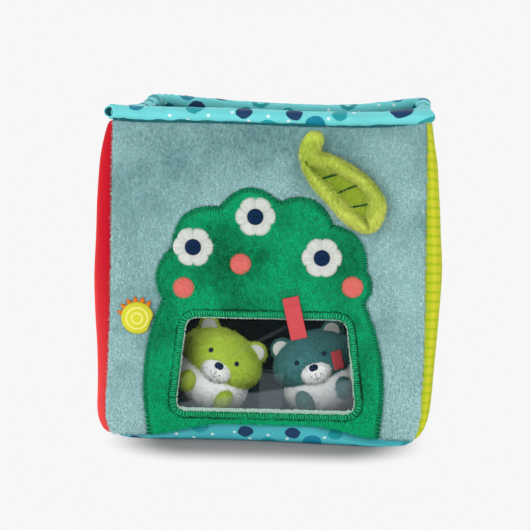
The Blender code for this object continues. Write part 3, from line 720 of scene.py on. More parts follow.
panel_plush = plush_paint("grey_green_plush", PLUSH_DARK, PLUSH_LIGHT, turn=12)
cover_paints = (panel_plush, check_paint(), panel_plush, knit_paint("red_knit", RED, RED_SHADE, DEPTH))
cover_slots = ("plush", "check", "plush", "red_knit")
lining_cloth = lining_paint()
wadding_fleece = matted_paint("white_wadding", WADDING_DARK, WADDING_LIGHT, roughness=0.95, sheen=0.4,
                              scale=300.0, detail=5.0, distance=0.001, strength=0.8)
covers = {}
for side, side_name in enumerate(SIDES):
    run = (corner(side + 1, 0.5) - corner(side, 0.5)).length
    cut_size = (run, PANEL_HEIGHT + WALL_FOOT - CORNER_FOOT)
    wadded = partial(flat_layer_spot, side, inset=COTTON + WADDING_SETBACK, fullness=WADDING_FULLNESS_SHARE)
    lined = partial(flat_layer_spot, side, inset=LINING_INSET, fullness=0)
    cover = sewn(side_name + "_panel", WALL_CELLS, WALL_CELLS, cut_size, partial(cover_spot, side),
                 cover_paints[side], COVER_CLOTH)
    wadding = sewn(side_name + "_batting", WADDING_CELLS, WADDING_CELLS, cut_size, wadded, wadding_fleece,
                   WADDING_THICKNESS)
    lining = sewn(side_name + "_inside", LINING_CELLS, LINING_CELLS, cut_size, lined, lining_cloth,
                  LINING_CLOTH)
    covers[side_name] = (cover, wadding, lining)
    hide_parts(side_name + "_cover")
    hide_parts(side_name + "_wadding")
    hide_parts(side_name + "_lining")
    for piece, finish in zip(covers[side_name], (cover_slots[side], "wadding", "lining")):
        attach(piece, "cube")
    left_over = (1 - WINDOW_SHARE if side_name == "front" else 1) * cut_size[0] * cut_size[1]


# Window: the clear film sewn behind the opening. The panel, its wadding and its lining are cut away behind
# it, each a little further back than the one in front, so that no raw edge shows past the applique.
WINDOW_LOWER_WIDTH = 0.117
WINDOW_UPPER_WIDTH = 0.103
WINDOW_HEIGHT = 0.061
WINDOW_SILL = 0.0205
WINDOW_CORNER = 0.008
LAYER_SETBACK = 0.0015
LAYER_CELLS = (0.002, 0.006, 0.006)
FILM_OVERLAP = 0.006
FILM_MARGIN = 0.004
FILM_CELL = 0.0024
FILM_SETBACK = 0.0004
FILM_SLACK = 0.00015
FILM = 0.0004
FRONT_Y = -DEPTH / 2
TOWARDS_US = (0, -1, 0)
# Painted reflection: a grey diffuse layer in a low band, a block and a streak, for the room mirrored in the
# film.
PAINTED_REFLECTION_GREY = (0.34, 0.38, 0.42, 1.0)
FILM_TINT = (0.985, 0.99, 0.99, 1.0)
MIRRORED_SLOPE, MIRRORED_HEIGHT = 0.16, 0.0335
MIRRORED_FROM = (-0.0605, -0.052)
MIRROR_BLUR = 0.0012
MIRRORED_BLOCK = (-0.0045, 0.0105, 0.045)
BLOCK_BLUR = 0.001
STREAK_SLOPE, STREAK_HEIGHT = 0.55, 0.069
STREAK_WIDTH = 0.0022


def bent(start, bend, end, t):
    """A point t of the way along the curve from start to end that leans towards bend."""
    return start * (1 - t) ** 2 + bend * 2 * t * (1 - t) + end * t ** 2


def rounded_outline(corners, radius, steps=8):
    """The outline through the corners, each rounded off from radius before it to radius after it."""
    outline = []
    for k, here in enumerate(corners):
        before, after = corners[k - 1], corners[(k + 1) % len(corners)]
        enter = here + (before - here).normalized() * radius
        leave = here + (after - here).normalized() * radius
        outline += [bent(enter, here, leave, step / steps) for step in range(steps + 1)]
    return outline


def window_outline(margin):
    """The window's outline as (x, z), let out by margin."""
    low, high = WINDOW_SILL - margin, WINDOW_SILL + WINDOW_HEIGHT + margin
    wide, narrow = WINDOW_LOWER_WIDTH / 2 + margin, WINDOW_UPPER_WIDTH / 2 + margin
    corners = [Vector(spot) for spot in ((-wide, low), (wide, low), (narrow, high), (-narrow, high))]
    return rounded_outline(corners, WINDOW_CORNER + margin)


def near_outline(outline, spots):
    """For each (x, z): its distance from an outline, the nearest point of it, and whether it lies inside."""
    start = np.array([tuple(spot) for spot in outline])
    end = np.roll(start, -1, axis=0)
    way = end - start
    reach = np.maximum((way ** 2).sum(1), 1e-12)
    offset = spots[:, None, :] - start[None]
    share = np.clip((offset * way).sum(2) / reach, 0, 1)
    nearest = start[None] + way[None] * share[..., None]
    distances = np.linalg.norm(spots[:, None, :] - nearest, axis=2)
    pick = distances.argmin(1)
    rows = np.arange(len(spots))
    crossing = (start[None, :, 1] > spots[:, None, 1]) != (end[None, :, 1] > spots[:, None, 1])
    rise = np.where(way[:, 1] == 0, 1e-12, way[:, 1])
    meets = start[:, 0] + (spots[:, None, 1] - start[:, 1]) / rise * way[:, 0]
    inside = (crossing & (spots[:, None, 0] < meets)).sum(1) % 2 == 1
    return distances[rows, pick], nearest[rows, pick], inside


def trim(piece, outline, keep_inside, cell):
    """Cuts an upright cloth along an outline: the nearest threads are drawn onto the cut, the rest goes."""
    with reworked(piece) as bm:
        away, nearest, _ = near_outline(outline, np.array([(v.co.x, v.co.z) for v in bm.verts]))
        for vert, distance, spot in zip(bm.verts, away, nearest):
            if distance < cell * 0.55:
                vert.co.x, vert.co.z = spot
        centres = np.array([(c.x, c.z) for c in (face.calc_center_median() for face in bm.faces)])
        _, _, inside = near_outline(outline, centres)
        unwanted = [face for face, within in zip(bm.faces, inside) if within != keep_inside]
        bmesh.ops.delete(bm, geom=unwanted, context="FACES")
    piece.data.shade_smooth()


for number, (layer, cell) in enumerate(zip(covers["front"], LAYER_CELLS), start=1):
    trim(layer, window_outline(number * LAYER_SETBACK), False, cell)


def film_paint():
    """Clear soft film: nearly all see-through, faintly glossy, and paler where a reflection is painted on."""
    made = bpy.data.materials.new("clear_film")
    made.use_nodes = True
    tree = made.node_tree
    spot = on_object(made)
    x, _, z = parts(spot)
    low_edge = x * MIRRORED_SLOPE + MIRRORED_HEIGHT
    low = (1 - eased(z - low_edge, -MIRROR_BLUR, MIRROR_BLUR)) * eased(x, *MIRRORED_FROM)
    left, right, top = MIRRORED_BLOCK
    block = eased(x, left, left + BLOCK_BLUR) * (1 - eased(x, right, right + BLOCK_BLUR))
    block *= 1 - eased(z, top, top + BLOCK_BLUR)
    off_streak = maths("ABSOLUTE", z - (x * STREAK_SLOPE + STREAK_HEIGHT))
    streak = 1 - eased(off_streak, 0.0, STREAK_WIDTH)
    # Painted reflection of the room: a low band, a block, a streak and a faint even share all over.
    reflection_share = clamped(low * 0.10 + block * 0.05 + streak * 0.03 + 0.002)
    rough = spot.step("Bump", {"Height": mottled(spot, 26.0, 1.0), "Distance": 0.002, "Strength": 0.3})
    clear = Pattern(new_node(tree, "BsdfTransparent", {"Color": FILM_TINT}))
    shine = rough.step("BsdfGlossy", {"Roughness": 0.06, "Normal": rough})
    painted_reflection = Pattern(new_node(tree, "BsdfDiffuse", {"Color": PAINTED_REFLECTION_GREY}))
    edge = Pattern(new_node(tree, "Fresnel", {"IOR": 1.25})) * 0.35
    glossed = edge.step("MixShader", {0: edge, 1: clear, 2: shine})
    surface_of(tree, reflection_share.step("MixShader", {0: reflection_share, 1: glossed, 2: painted_reflection}))
    return made


film_size = tuple(side + 2 * FILM_OVERLAP + FILM_MARGIN for side in (WINDOW_LOWER_WIDTH, WINDOW_HEIGHT))


def film_spot(u, v):
    """A point of the film, which is a little slack."""
    x = (u - 0.5) * film_size[0]
    z = WINDOW_SILL + WINDOW_HEIGHT / 2 + (v - 0.5) * film_size[1]
    slack = FILM_SLACK * noise.noise(Vector((x * 40, 0, z * 40)))
    return Vector((x, FRONT_Y - FILM_SETBACK + slack, z))


film = sewn("clear_window", 56, 32, film_size, film_spot, film_paint(), FILM)
trim(film, window_outline(FILM_OVERLAP), True, FILM_CELL)
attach(film, "cube")
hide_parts("window_film")

# Inside floor and foam: the dark lining laid over the board of foam that keeps the base stiff.
# The foam is cut to the base and shut in between the tray and the floor.
FLOOR_TOP = 0.0103
FLOOR_CLOTH = 0.0008
FOAM_TOP = 0.0092
FOAM_THICKNESS = 0.0072
FLOOR_INSET = 0.0106
FLOOR_SAG = 0.0004
FLOOR_FULLNESS_SHARE = 0.03
FOAM_DARK = (0.30, 0.30, 0.28, 1.0)
FOAM_LIGHT = (0.62, 0.61, 0.56, 1.0)


def floor_spot(u, v, height):
    """A point of the base in plan, from its front left to its back right."""
    x = (u - 0.5) * (BASE_WIDTH - 2 * FLOOR_INSET)
    y = (v - 0.5) * (DEPTH - 2 * FLOOR_INSET)
    sag = FLOOR_SAG * noise.noise(Vector((x * 30, y * 30, 3)))
    return Vector((x * (1 + FLOOR_FULLNESS_SHARE * math.cos(math.pi * y / DEPTH)), y, height + sag))


base_size = (BASE_WIDTH, DEPTH)
floor_cloth = sewn("inside_floor", 36, 36, base_size, partial(floor_spot, height=FLOOR_TOP), lining_cloth,
                   FLOOR_CLOTH)
foam_paint = fabric_paint("upholstery_foam", 0.9)
spot = on_object(foam_paint)
pores = spot.step("TexVoronoi", {"Vector": spot, "Scale": 900.0}, "Distance")
coloured(foam_paint, blended(pores, FOAM_DARK, FOAM_LIGHT), pores, 0.0006)
foam = sewn("base_board", 30, 30, base_size, partial(floor_spot, height=FOAM_TOP), foam_paint,
            FOAM_THICKNESS)
for piece, node, finish in ((floor_cloth, "base_lining", "lining"), (foam, "base_foam", "foam")):
    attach(piece, "cube")
    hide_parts(node)

# Rim: one long tube of the printed cotton over a soft cord, sewn round the opening on a flat binding.
# It starts with an open end at the front left, rounds three corners and is gathered at the back left.
WALL = 0.0096
ROLL_WIDE = 0.0054
ROLL_HIGH = 0.0048
ROLL_REST = 0.0043
ROLL_COTTON = 0.0009
ROLL_STEPS_A_SIDE = 70
ROLL_COLUMNS = 560
ROLL_ROUND = 32
SLOW_SWELL = 0.06
ROLL_PUCKER = 0.09
BEND_RUN = 0.011
BEND_STEPS = 12
BEND_LIFT = 0.0003
OPEN_END_REACH = 0.0074
END_SLANT = 0.62
END_HEM = 0.0018
END_PINCH = 0.30
MOUTH_RUN = 0.012
CORNER_RUN = 0.012
CORNER_BULGE = 0.42
CORNER_REACH = 0.0024
GATHER_PITCH = 0.0048
GATHER_RUN = 0.026
GATHER_SHARE = 0.085
FOLD_PITCH = 0.0042
FOLD_RUN = 0.009
FOLD_SHARE = 0.10
CORD_CLEARANCE = 0.0005
CORD_SETBACK = 0.018
CORD_SETBACK_RUN = 0.05
CORD_TAPER = 0.004
CORD_ROUND = 12
CORD_GIRTH = 0.02
BACK_LEFT_SHARE = 0.742
FRONT_RIGHT_AT = 0.191
BINDING_HEIGHT = 0.0042
BINDING_BELOW_SHARE = 0.66
BINDING_INSET = 0.0010
BINDING_CLOTH = 0.0008
BINDING_CREASE = 0.0004


def runs_along(spots):
    """How far along a line of places each of them is."""
    return np.concatenate([[0], np.cumsum(np.linalg.norm(np.diff(spots, axis=0), axis=1))])


def rim_line(inset, lift, first_reach):
    """The rim's line at an inset from the walls, from its front left end round to the left side's front."""
    line = []
    for side in range(4):
        start, end, outward = wall_line(side, 1, inset)
        length = (end - start).length
        first = -first_reach if side == 0 else BEND_RUN
        last = length if side == 3 else length - BEND_RUN
        stretch = []
        for k in range(ROLL_STEPS_A_SIDE + 1):
            run = first + (last - first) * k / ROLL_STEPS_A_SIDE
            share = run / length
            spot = start.lerp(end, share) + outward * bow(side, min(max(share, 0), 1))
            stretch.append(Vector((*spot, wall_top(side, spot) + lift)))
        if line:
            enter, leave = line[-1], stretch[0]
            bend = Vector((*start, (enter.z + leave.z) / 2 + BEND_LIFT))
            line += [bent(enter, bend, leave, k / BEND_STEPS) for k in range(1, BEND_STEPS)]
        line += stretch
    places = np.array([tuple(spot) for spot in line])
    runs = runs_along(places)
    even = np.linspace(0, runs[-1], ROLL_COLUMNS + 1)
    return [Vector(spot) for spot in zip(*(np.interp(even, runs, places[:, k]) for k in range(3)))], runs[-1]


roll_middle, roll_length = rim_line(WALL / 2, ROLL_REST, OPEN_END_REACH)
BACK_LEFT_RUN = OPEN_END_REACH + roll_length * BACK_LEFT_SHARE
FRONT_RIGHT_RUN = OPEN_END_REACH + FRONT_RIGHT_AT


def roll_ring(u, v, wide, high):
    """A point round the roll: u along its length, v round it from underneath by way of its outer side."""
    step = round(u * ROLL_COLUMNS)
    middle = roll_middle[step]
    ahead = (roll_middle[min(step + 1, ROLL_COLUMNS)] - roll_middle[max(step - 1, 0)]).normalized()
    beside = ahead.cross(Vector((0, 0, 1))).normalized()
    above = beside.cross(ahead)
    angle = 2 * math.pi * v - math.pi / 2
    run = u * roll_length
    ripple = math.sin(2 * math.pi * run / GATHER_PITCH + 0.9 * math.sin(angle + run * 90))
    swell = 1 + GATHER_SHARE * hump(run - BACK_LEFT_RUN, GATHER_RUN) * ripple
    fold = hump(run - FRONT_RIGHT_RUN, FOLD_RUN) * max(-math.cos(angle), 0.15)
    swell += FOLD_SHARE * fold * math.sin(2 * math.pi * run / FOLD_PITCH)
    swell += SLOW_SWELL * noise.noise(middle * 45)
    swell += ROLL_PUCKER * noise.noise(Vector((run * 130 + angle, math.cos(angle) * 1.6, 2)))
    swell *= 1 - END_PINCH * max(1 - run / END_HEM, 0) ** 2
    slant = END_SLANT * max(1 - run / MOUTH_RUN, 0) ** 2 * math.cos(angle) * wide
    round_corner = hump(run - FRONT_RIGHT_RUN, CORNER_RUN)
    bulge = CORNER_BULGE * round_corner
    aside = math.cos(angle) * wide * (swell + bulge) + CORNER_REACH * round_corner
    risen = math.sin(angle) * high * (swell + 0.25 * bulge)
    return middle + ahead * slant + beside * aside + above * risen


roll = sewn("rim_roll", ROLL_COLUMNS, ROLL_ROUND, (roll_length, 2 * math.pi * ROLL_WIDE),
            partial(roll_ring, wide=ROLL_WIDE, high=ROLL_HIGH), print_paint, ROLL_COTTON, weld=True)
# The roll's inner face is the shaded cotton: painted shade inside the tube.
roll.data.materials.append(shaded_cotton)
roll.modifiers["thickness"].material_offset = 1
roll.modifiers["thickness"].material_offset_rim = 0


def cord_ring(u, v):
    """A point of the cord inside the roll, which ends a little way in from the open end."""
    from_end = min(u * roll_length, (1 - u) * roll_length, CORD_TAPER) / CORD_TAPER
    slimmer = ROLL_COTTON + CORD_CLEARANCE
    spot = roll_ring(u, v, ROLL_WIDE - slimmer, ROLL_HIGH - slimmer)
    shrunk = roll_middle[round(u * ROLL_COLUMNS)].lerp(spot, math.sqrt(from_end * (2 - from_end)))
    return shrunk + Vector((CORD_SETBACK * max(1 - u * roll_length / CORD_SETBACK_RUN, 0), 0, 0))


stuffing = sewn("rim_cord", ROLL_COLUMNS, CORD_ROUND, (roll_length, CORD_GIRTH), cord_ring, wadding_fleece,
                weld=True)
strip_line, strip_length = rim_line(BINDING_INSET, 0.0, 0.0)


def binding_spot(u, v):
    """The flat binding, from inside the walls' seam up under the roll."""
    here = strip_line[round(u * ROLL_COLUMNS)]
    crease = BINDING_CREASE * noise.noise(here * 90)
    return here + Vector((0, crease, (v - BINDING_BELOW_SHARE) * BINDING_HEIGHT))


# The binding is cut from the shaded cotton: its dark teal is painted shade under the roll.
binding = sewn("rim_binding", ROLL_COLUMNS, 4, (strip_length, BINDING_HEIGHT), binding_spot, shaded_cotton,
               BINDING_CLOTH)
for piece, finish in ((roll, "print"), (stuffing, "wadding"), (binding, "print")):
    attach(piece, "cube")
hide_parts(*(f"rim_{name}_cover" for name in SIDES))
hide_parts(*(f"rim_{name}_filling" for name in SIDES))

# Applique: dark green plush cut as a round bush and sewn down by a satin edge, with a second satin edge
# round the window in it. The base seam holds its lower edge.
APPLIQUE_HALF_WIDTH = 0.076
APPLIQUE_HEIGHT = 0.160
APPLIQUE_SHARES = (
    (-1.000, 0.000, 0.08),
    (-0.880, 0.520, 0.20),
    (-0.800, 0.730, 0.26),
    (-0.400, 0.895, 0.27),
    (0.100, 0.920, 0.25),
    (0.550, 0.830, 0.22),
    (0.830, 0.650, 0.20),
    (0.820, 0.520, 0.08),
    (0.965, 0.000, 0.00),
)
APPLIQUE_BACK = FRONT_Y - 0.0010
APPLIQUE_CROWN = 0.0019
APPLIQUE_EDGE_SHARE = 0.30
APPLIQUE_DENT = 0.00045
APPLIQUE_CELL = 0.0013
APPLIQUE_CLOTH = 0.0008
APPLIQUE_MARGIN = 1.06
EDGE_FROM = 0.001
EDGE_ROUND = 0.0022
LEAST_RISE = 0.0003
SEAM_OVERLAP = 0.010
ARCH_FADE = 0.003
LOWER_RUN_BAND = 0.0015
SLOPE_STEP = 0.0008
GREEN_DARK = (0.001, 0.105, 0.035, 1.0)
GREEN_LIGHT = (0.006, 0.300, 0.120, 1.0)
THREAD_GREEN = (0.0, 0.045, 0.018, 1.0)
THREAD_GREEN_LIGHT = (0.003, 0.340, 0.145, 1.0)
WINDOW_THREAD = (0.0, 0.070, 0.025, 1.0)
WINDOW_THREAD_LIGHT = (0.020, 0.560, 0.230, 1.0)
# Painted shade: the furrow inside the window's satin edge is drawn as near-black low stitches.
GROOVE_SHADE_GREEN = (0.0, 0.016, 0.006, 1.0)
RAW_EDGE = (0.50, 0.68, 0.60, 1.0)
RAW_EDGE_DARK = (0.375, 0.51, 0.45, 1.0)


def arc_spot(start, end, rise_share, t):
    """A point t of the way along a shallow arc from start to end."""
    chord = end - start
    return start.lerp(end, t) + Vector((-chord.y, chord.x)) * rise_share * 4 * t * (1 - t)


def bush_spot(x_share, z_share):
    """A place on the bush as (x, z), from shares of its half width and its height."""
    return Vector((x_share * APPLIQUE_HALF_WIDTH, WALL_FOOT + z_share * APPLIQUE_HEIGHT))


def applique_outline(steps=14):
    """The bush's outline as (x, z), clockwise from its lower left corner."""
    corners = [bush_spot(x, z) for x, z, _ in APPLIQUE_SHARES]
    outline = []
    for start, end, (_, _, rise) in zip(corners, corners[1:], APPLIQUE_SHARES):
        outline += [arc_spot(start, end, rise, step / steps) for step in range(steps)]
    return outline + [corners[-1]]


def hung(x, z):
    """Where the front's lower part lies once its lower edge is sewn into the arched seam."""
    top = WINDOW_SILL - ARCH_FADE
    if z >= top:
        return z
    foot = wall_foot(0, x / BASE_WIDTH + 0.5) + TOP_SINK
    return foot + (z - WALL_FOOT) * (top - foot) / (top - WALL_FOOT)


bush, opening = applique_outline(), window_outline(0)
below_seam = Vector((0, SEAM_OVERLAP))
sewn_bush = [bush[0] - below_seam, *bush, bush[-1] - below_seam]
bush_size = (2 * APPLIQUE_HALF_WIDTH * APPLIQUE_MARGIN, APPLIQUE_HEIGHT * APPLIQUE_MARGIN)


def flat_bush_spot(u, v):
    """A point of the applique's cloth before it is cut."""
    return Vector(((u - 0.5) * bush_size[0], APPLIQUE_BACK, WALL_FOOT + v * bush_size[1]))


bush_plush = plush_paint("green_plush", GREEN_DARK, GREEN_LIGHT, strand=(1400, 500), turn=-20, relief=0.0005)
applique = sewn("bush_applique", round(bush_size[0] / APPLIQUE_CELL), round(bush_size[1] / APPLIQUE_CELL),
                bush_size, flat_bush_spot, bush_plush)
trim(applique, bush, True, APPLIQUE_CELL)
trim(applique, opening, False, APPLIQUE_CELL)


def bush_rise(spots):
    """How far the applique stands out at each (x, z): low along both satin edges, and softly dented."""
    outer, _, _ = near_outline(sewn_bush, spots)
    inner, _, _ = near_outline(opening, spots)
    edge = np.minimum(outer, inner)
    swell = 1 - np.exp(-np.maximum(edge - EDGE_FROM, 0) / EDGE_ROUND)
    dents = np.array([noise.noise(Vector((x * 45, 5, z * 45))) for x, z in spots])
    risen = APPLIQUE_EDGE_SHARE + (1 - APPLIQUE_EDGE_SHARE) * swell
    return APPLIQUE_CROWN * risen + APPLIQUE_DENT * dents * swell


with reworked(applique) as bm:
    for vert, rise in zip(bm.verts, bush_rise(np.array([(v.co.x, v.co.z) for v in bm.verts]))):
        fold = front_crease(vert.co.x, vert.co.z)
        vert.co.z = hung(vert.co.x, vert.co.z)
        vert.co.y = APPLIQUE_BACK - rise + min(fold, rise - LEAST_RISE)
applique.data.shade_smooth()
thickened(applique, APPLIQUE_CLOTH)


def tone_of(paint, name):
    """The tone that each small copy on a piece has of its own."""
    return Pattern(new_node(paint.node_tree, "Attribute", attribute_name=name), "Fac")


def thread_paint(name, dark, light, roughness=0.6):
    """Glossy embroidery thread, a little different from stitch to stitch."""
    made = fabric_paint(name, roughness, 0.10)
    strands = mottled(on_object(made), 2600.0, 2.0)
    share = clamped(tone_of(made, "StitchTone") * 0.95 + strands * 0.4 - 0.15)
    return coloured(made, blended(share, dark, light), strands, 0.0001, 0.7)


def repeated(name, shape, places, tones, paint, tone_name, tip_light=0.0, facing=None):
    """Many copies of one small shape in one mesh. Each goes where its 4 by 4 matrix puts it and has a tone of
    its own. Where facing is given, each copy is lit as the cloth that it stands on."""
    corners = np.array([tuple(vert.co) + (1.0,) for vert in shape.verts])
    # tip_light raises each copy's tone towards its tip: painted shade at the root, painted light at the tip.
    tones = np.asarray(tones)[:, None] + tip_light * corners[None, :, 2]
    faces = np.array([[vert.index for vert in face.verts] for face in shape.faces])
    shape.free()
    spots = np.einsum("kij,vj->kvi", np.array(places), corners)[..., :3]
    count = len(corners)
    joined = (faces[None] + (np.arange(len(places)) * count)[:, None, None]).reshape(-1, faces.shape[1])
    mesh = bpy.data.meshes.new(name)
    mesh.from_pydata(spots.reshape(-1, 3), [], joined)
    mesh.shade_smooth()
    tone = mesh.attributes.new(tone_name, "FLOAT", "POINT")
    tone.data.foreach_set("value", np.asarray(tones, dtype=np.float32).reshape(-1))
    if facing is not None:
        mesh.normals_split_custom_set_from_vertices(np.repeat(facing, count, axis=0))
    mesh.materials.append(paint)
    made = bpy.data.objects.new(name, mesh)
    bpy.context.scene.collection.objects.link(made)
    return made


def stitch_shape():
    """One satin stitch: a short rod with rounded ends, lying along X, all sizes 1."""
    bm = bmesh.new()
    bmesh.ops.create_grid(bm, x_segments=5, y_segments=6, size=0.5)
    for vert in bm.verts:
        turn, along = (vert.co.y + 0.5) * 2 * math.pi, vert.co.x * math.pi
        thick = 0.5 * math.sqrt(max(math.cos(along), 0))
        vert.co = Vector((math.sin(along) / 2, math.cos(turn) * thick, math.sin(turn) * thick))
    bmesh.ops.remove_doubles(bm, verts=bm.verts, dist=0.0001)
    bmesh.ops.delete(bm, geom=[face for face in bm.faces if len(face.verts) < 4], context="FACES")
    bm.verts.index_update()
    return bm


def stitch_place(middle, along, outward, length, width, height):
    """The matrix that lays a stitch at a point, along a direction, with its crown facing outward."""
    along = along.normalized()
    across = outward.cross(along).normalized()
    up = along.cross(across)
    rows = [[along[k] * length, across[k] * width, up[k] * height, middle[k]] for k in range(3)]
    return rows + [[0, 0, 0, 1]]


stitch_dice = random.Random(11)


def satin_row(name, outline, paint, offset, length, pitch, width, height, lift, closed=True, slant=14):
    """Zigzag stitches across a line that runs offset inside an outline, as (x, z), and stands out by lift."""
    spots = np.array([tuple(spot) for spot in outline] + ([tuple(outline[0])] if closed else []))
    runs = runs_along(spots)

    def on_line(run):
        return np.interp(run, runs, spots[:, 0]), np.interp(run, runs, spots[:, 1])

    places, tones = [], []
    for number in range(int(runs[-1] / pitch)):
        run = (number + stitch_dice.uniform(0.2, 0.8)) * pitch
        (x0, z0), (x, z), (x1, z1) = (on_line(run + shift) for shift in (-SLOPE_STEP, 0, SLOPE_STEP))
        way = Vector((x1 - x0, 0, z1 - z0)).normalized()
        inward = Vector((way.z, 0, -way.x))
        turn = math.radians((slant if number % 2 else -slant) + stitch_dice.uniform(-9, 9))
        along = inward * math.cos(turn) + way * math.sin(turn)
        middle = Vector((x, APPLIQUE_BACK - lift, hung(x, z)))
        middle += inward * (offset + stitch_dice.uniform(-0.0003, 0.0003))
        reach = length * stitch_dice.uniform(0.88, 1.12)
        places.append(stitch_place(middle, along, Vector(TOWARDS_US), reach, width, height))
        tones.append(0.75 * (number % 2) + 0.25 * stitch_dice.random())
    return repeated(name, stitch_shape(), places, tones, paint, "StitchTone")


green_thread = thread_paint("green_thread", THREAD_GREEN, THREAD_GREEN_LIGHT)
window_thread = thread_paint("window_thread", WINDOW_THREAD, WINDOW_THREAD_LIGHT)
groove_shade_thread = thread_paint("groove_shade_thread", GROOVE_SHADE_GREEN, THREAD_GREEN)
raw_thread = thread_paint("raw_window_edge", RAW_EDGE_DARK, RAW_EDGE, 0.8)
lower_run = [spot for spot in opening if spot.y < WINDOW_SILL + LOWER_RUN_BAND]
lower_run.sort(key=lambda spot: spot.x)
edge_rows = [
    satin_row("bush_satin_edge", bush, green_thread, offset=0.0010, length=0.0038, pitch=0.00080,
              width=0.00082, height=0.0017, lift=0.0008, closed=False),
    satin_row("window_satin_edge", opening, window_thread, offset=0.0026, length=0.0036, pitch=0.00080,
              width=0.00088, height=0.0017, lift=0.0010),
    # Low near-black stitches: painted shade in the furrow.
    satin_row("window_groove_shade", opening, groove_shade_thread, offset=0.0050, length=0.0019, pitch=0.00055,
              width=0.0010, height=0.0006, lift=0.0017, slant=62),
    satin_row("window_raw_edge", opening, raw_thread, offset=0.0001, length=0.0021, pitch=0.0007,
              width=0.0007, height=0.0008, lift=0.0002, slant=35),
    satin_row("window_lower_raw_edge", lower_run, raw_thread, offset=-0.0004, length=0.0034, pitch=0.0006,
              width=0.0009, height=0.0010, lift=0.0003, closed=False, slant=35),
]
for piece in (applique, *edge_rows):
    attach(piece, "cube")
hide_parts("applique")

# Plush pile: the brushed fibres that stand on the front and back panels and on the applique. They are knitted
# into the plush, lie mostly downwards in soft swirls, and stick out over the seams.
PILE_REACH = 0.0022
PILE_THICK = 0.00028
FRONT_FIBRES = 62000
BACK_FIBRES = 60000
APPLIQUE_FIBRES = 46000
PILE_DARK = (0.092, 0.230, 0.238, 1.0)
PILE_LIGHT = (0.61, 0.885, 0.890, 1.0)
GREEN_PILE_DARK = (0.0, 0.090, 0.028, 1.0)
GREEN_PILE_LIGHT = (0.003, 0.63, 0.26, 1.0)
LOCK_SIZES = (620.0, 620.0, 260.0)
LOCK_DRIFT = 0.012
LIGHT_FROM_TABLE = 3.4
EVEN_LIGHT_HEIGHT = 0.1785
RIBBON_WIDTH = 0.0105
RIBBON_LEAN = math.radians(13.0)
RIBBON_SEAM = Vector((0.0153, APPLIQUE_BACK - APPLIQUE_CROWN - 0.0011, WALL_FOOT + 0.54 * APPLIQUE_HEIGHT))
RIBBON_PRESS = 0.0055
RIBBON_PRESS_BELOW = 0.0015
RIBBON_PRESS_MARGIN = 0.0014
LEAF_SEAM = Vector((0.0283, FRONT_Y - 0.0066, WALL_FOOT + PANEL_HEIGHT - 0.0088))
LEAF_PRESS = 0.0105
PRESSED_SHARE = 0.32
BUSH_SATIN_REACH = 0.0030
WINDOW_SATIN_REACH = 0.0042
BUSH_GAP = 0.0012
FIBRE_LENGTHS = (0.7, 1.25)
FIBRE_TONES = (0.0, 0.60)
# Painted shade and light on each fibre: darker at the root, lighter at the tip.
FIBRE_TIP_LIGHT = 0.35
LEAST_STAND = 0.12


def fibre_paint(name, dark, light, patch=26.0, lean=25.0, patchy=2.0, locky=1.4, slope=LIGHT_FROM_TABLE,
                even_height=EVEN_LIGHT_HEIGHT):
    """Pile fibres: painted shade at the root, darker in the locks that lie low and in patches brushed the
    other way.
    """
    made = fabric_paint(name, 0.8, 0.08)
    spot = on_object(made)
    swept = swayed(spot, 45.0, 1.0, LOCK_DRIFT, level=0.0)
    drawn = mapped(swept, Rotation=(0, math.radians(lean), 0), Scale=LOCK_SIZES)
    lowered = mottled(drawn, 1.0, 2.0) * locky + mottled(spot, patch, 3.0) * patchy - (patchy + locky) / 2
    _, _, height = parts(spot)
    # Painted light from the table: the pile is lighter below even_height, by slope for each metre lower.
    share = clamped(tone_of(made, "FibreTone") + (even_height - height) * slope + lowered)
    return coloured(made, blended(share, dark, light))


def fibre_shape():
    """A fibre: a three-sided spike that stands on its root, all sizes 1."""
    bm = bmesh.new()
    bmesh.ops.create_cone(bm, cap_ends=False, segments=3, radius1=0.5, radius2=0.0, depth=1.0,
                          matrix=Matrix.Translation((0, 0, 0.5)))
    bmesh.ops.remove_doubles(bm, verts=bm.verts, dist=0.0001)
    bm.verts.index_update()
    return bm


def swirled(spots, downward, swing, scale):
    """The way the pile lies at each spot: downward in the panel's plane, turned by a slow swirl."""
    turns = np.array([noise.noise(Vector(spot) * scale) for spot in spots]) * swing
    downward = Vector(downward)
    sideways = np.array(downward.orthogonal().normalized())
    if abs(sideways[2]) > 0.5:
        sideways = np.cross(np.array(downward), sideways)
    return np.cos(turns)[:, None] * np.array(downward) + np.sin(turns)[:, None] * sideways


def unit(ways):
    """The same directions, each 1 long."""
    return ways / np.linalg.norm(ways, axis=1)[:, None]


def skin_corners(piece):
    """The first, the second and the third corners of all the triangles of a finished piece."""
    skin = piece.evaluated_get(bpy.context.evaluated_depsgraph_get()).to_mesh()
    skin.calc_loop_triangles()
    spots = np.empty(len(skin.vertices) * 3)
    skin.vertices.foreach_get("co", spots)
    triangles = np.empty(len(skin.loop_triangles) * 3, dtype=np.int32)
    skin.loop_triangles.foreach_get("vertices", triangles)
    return spots.reshape(-1, 3)[triangles.reshape(-1, 3).T]


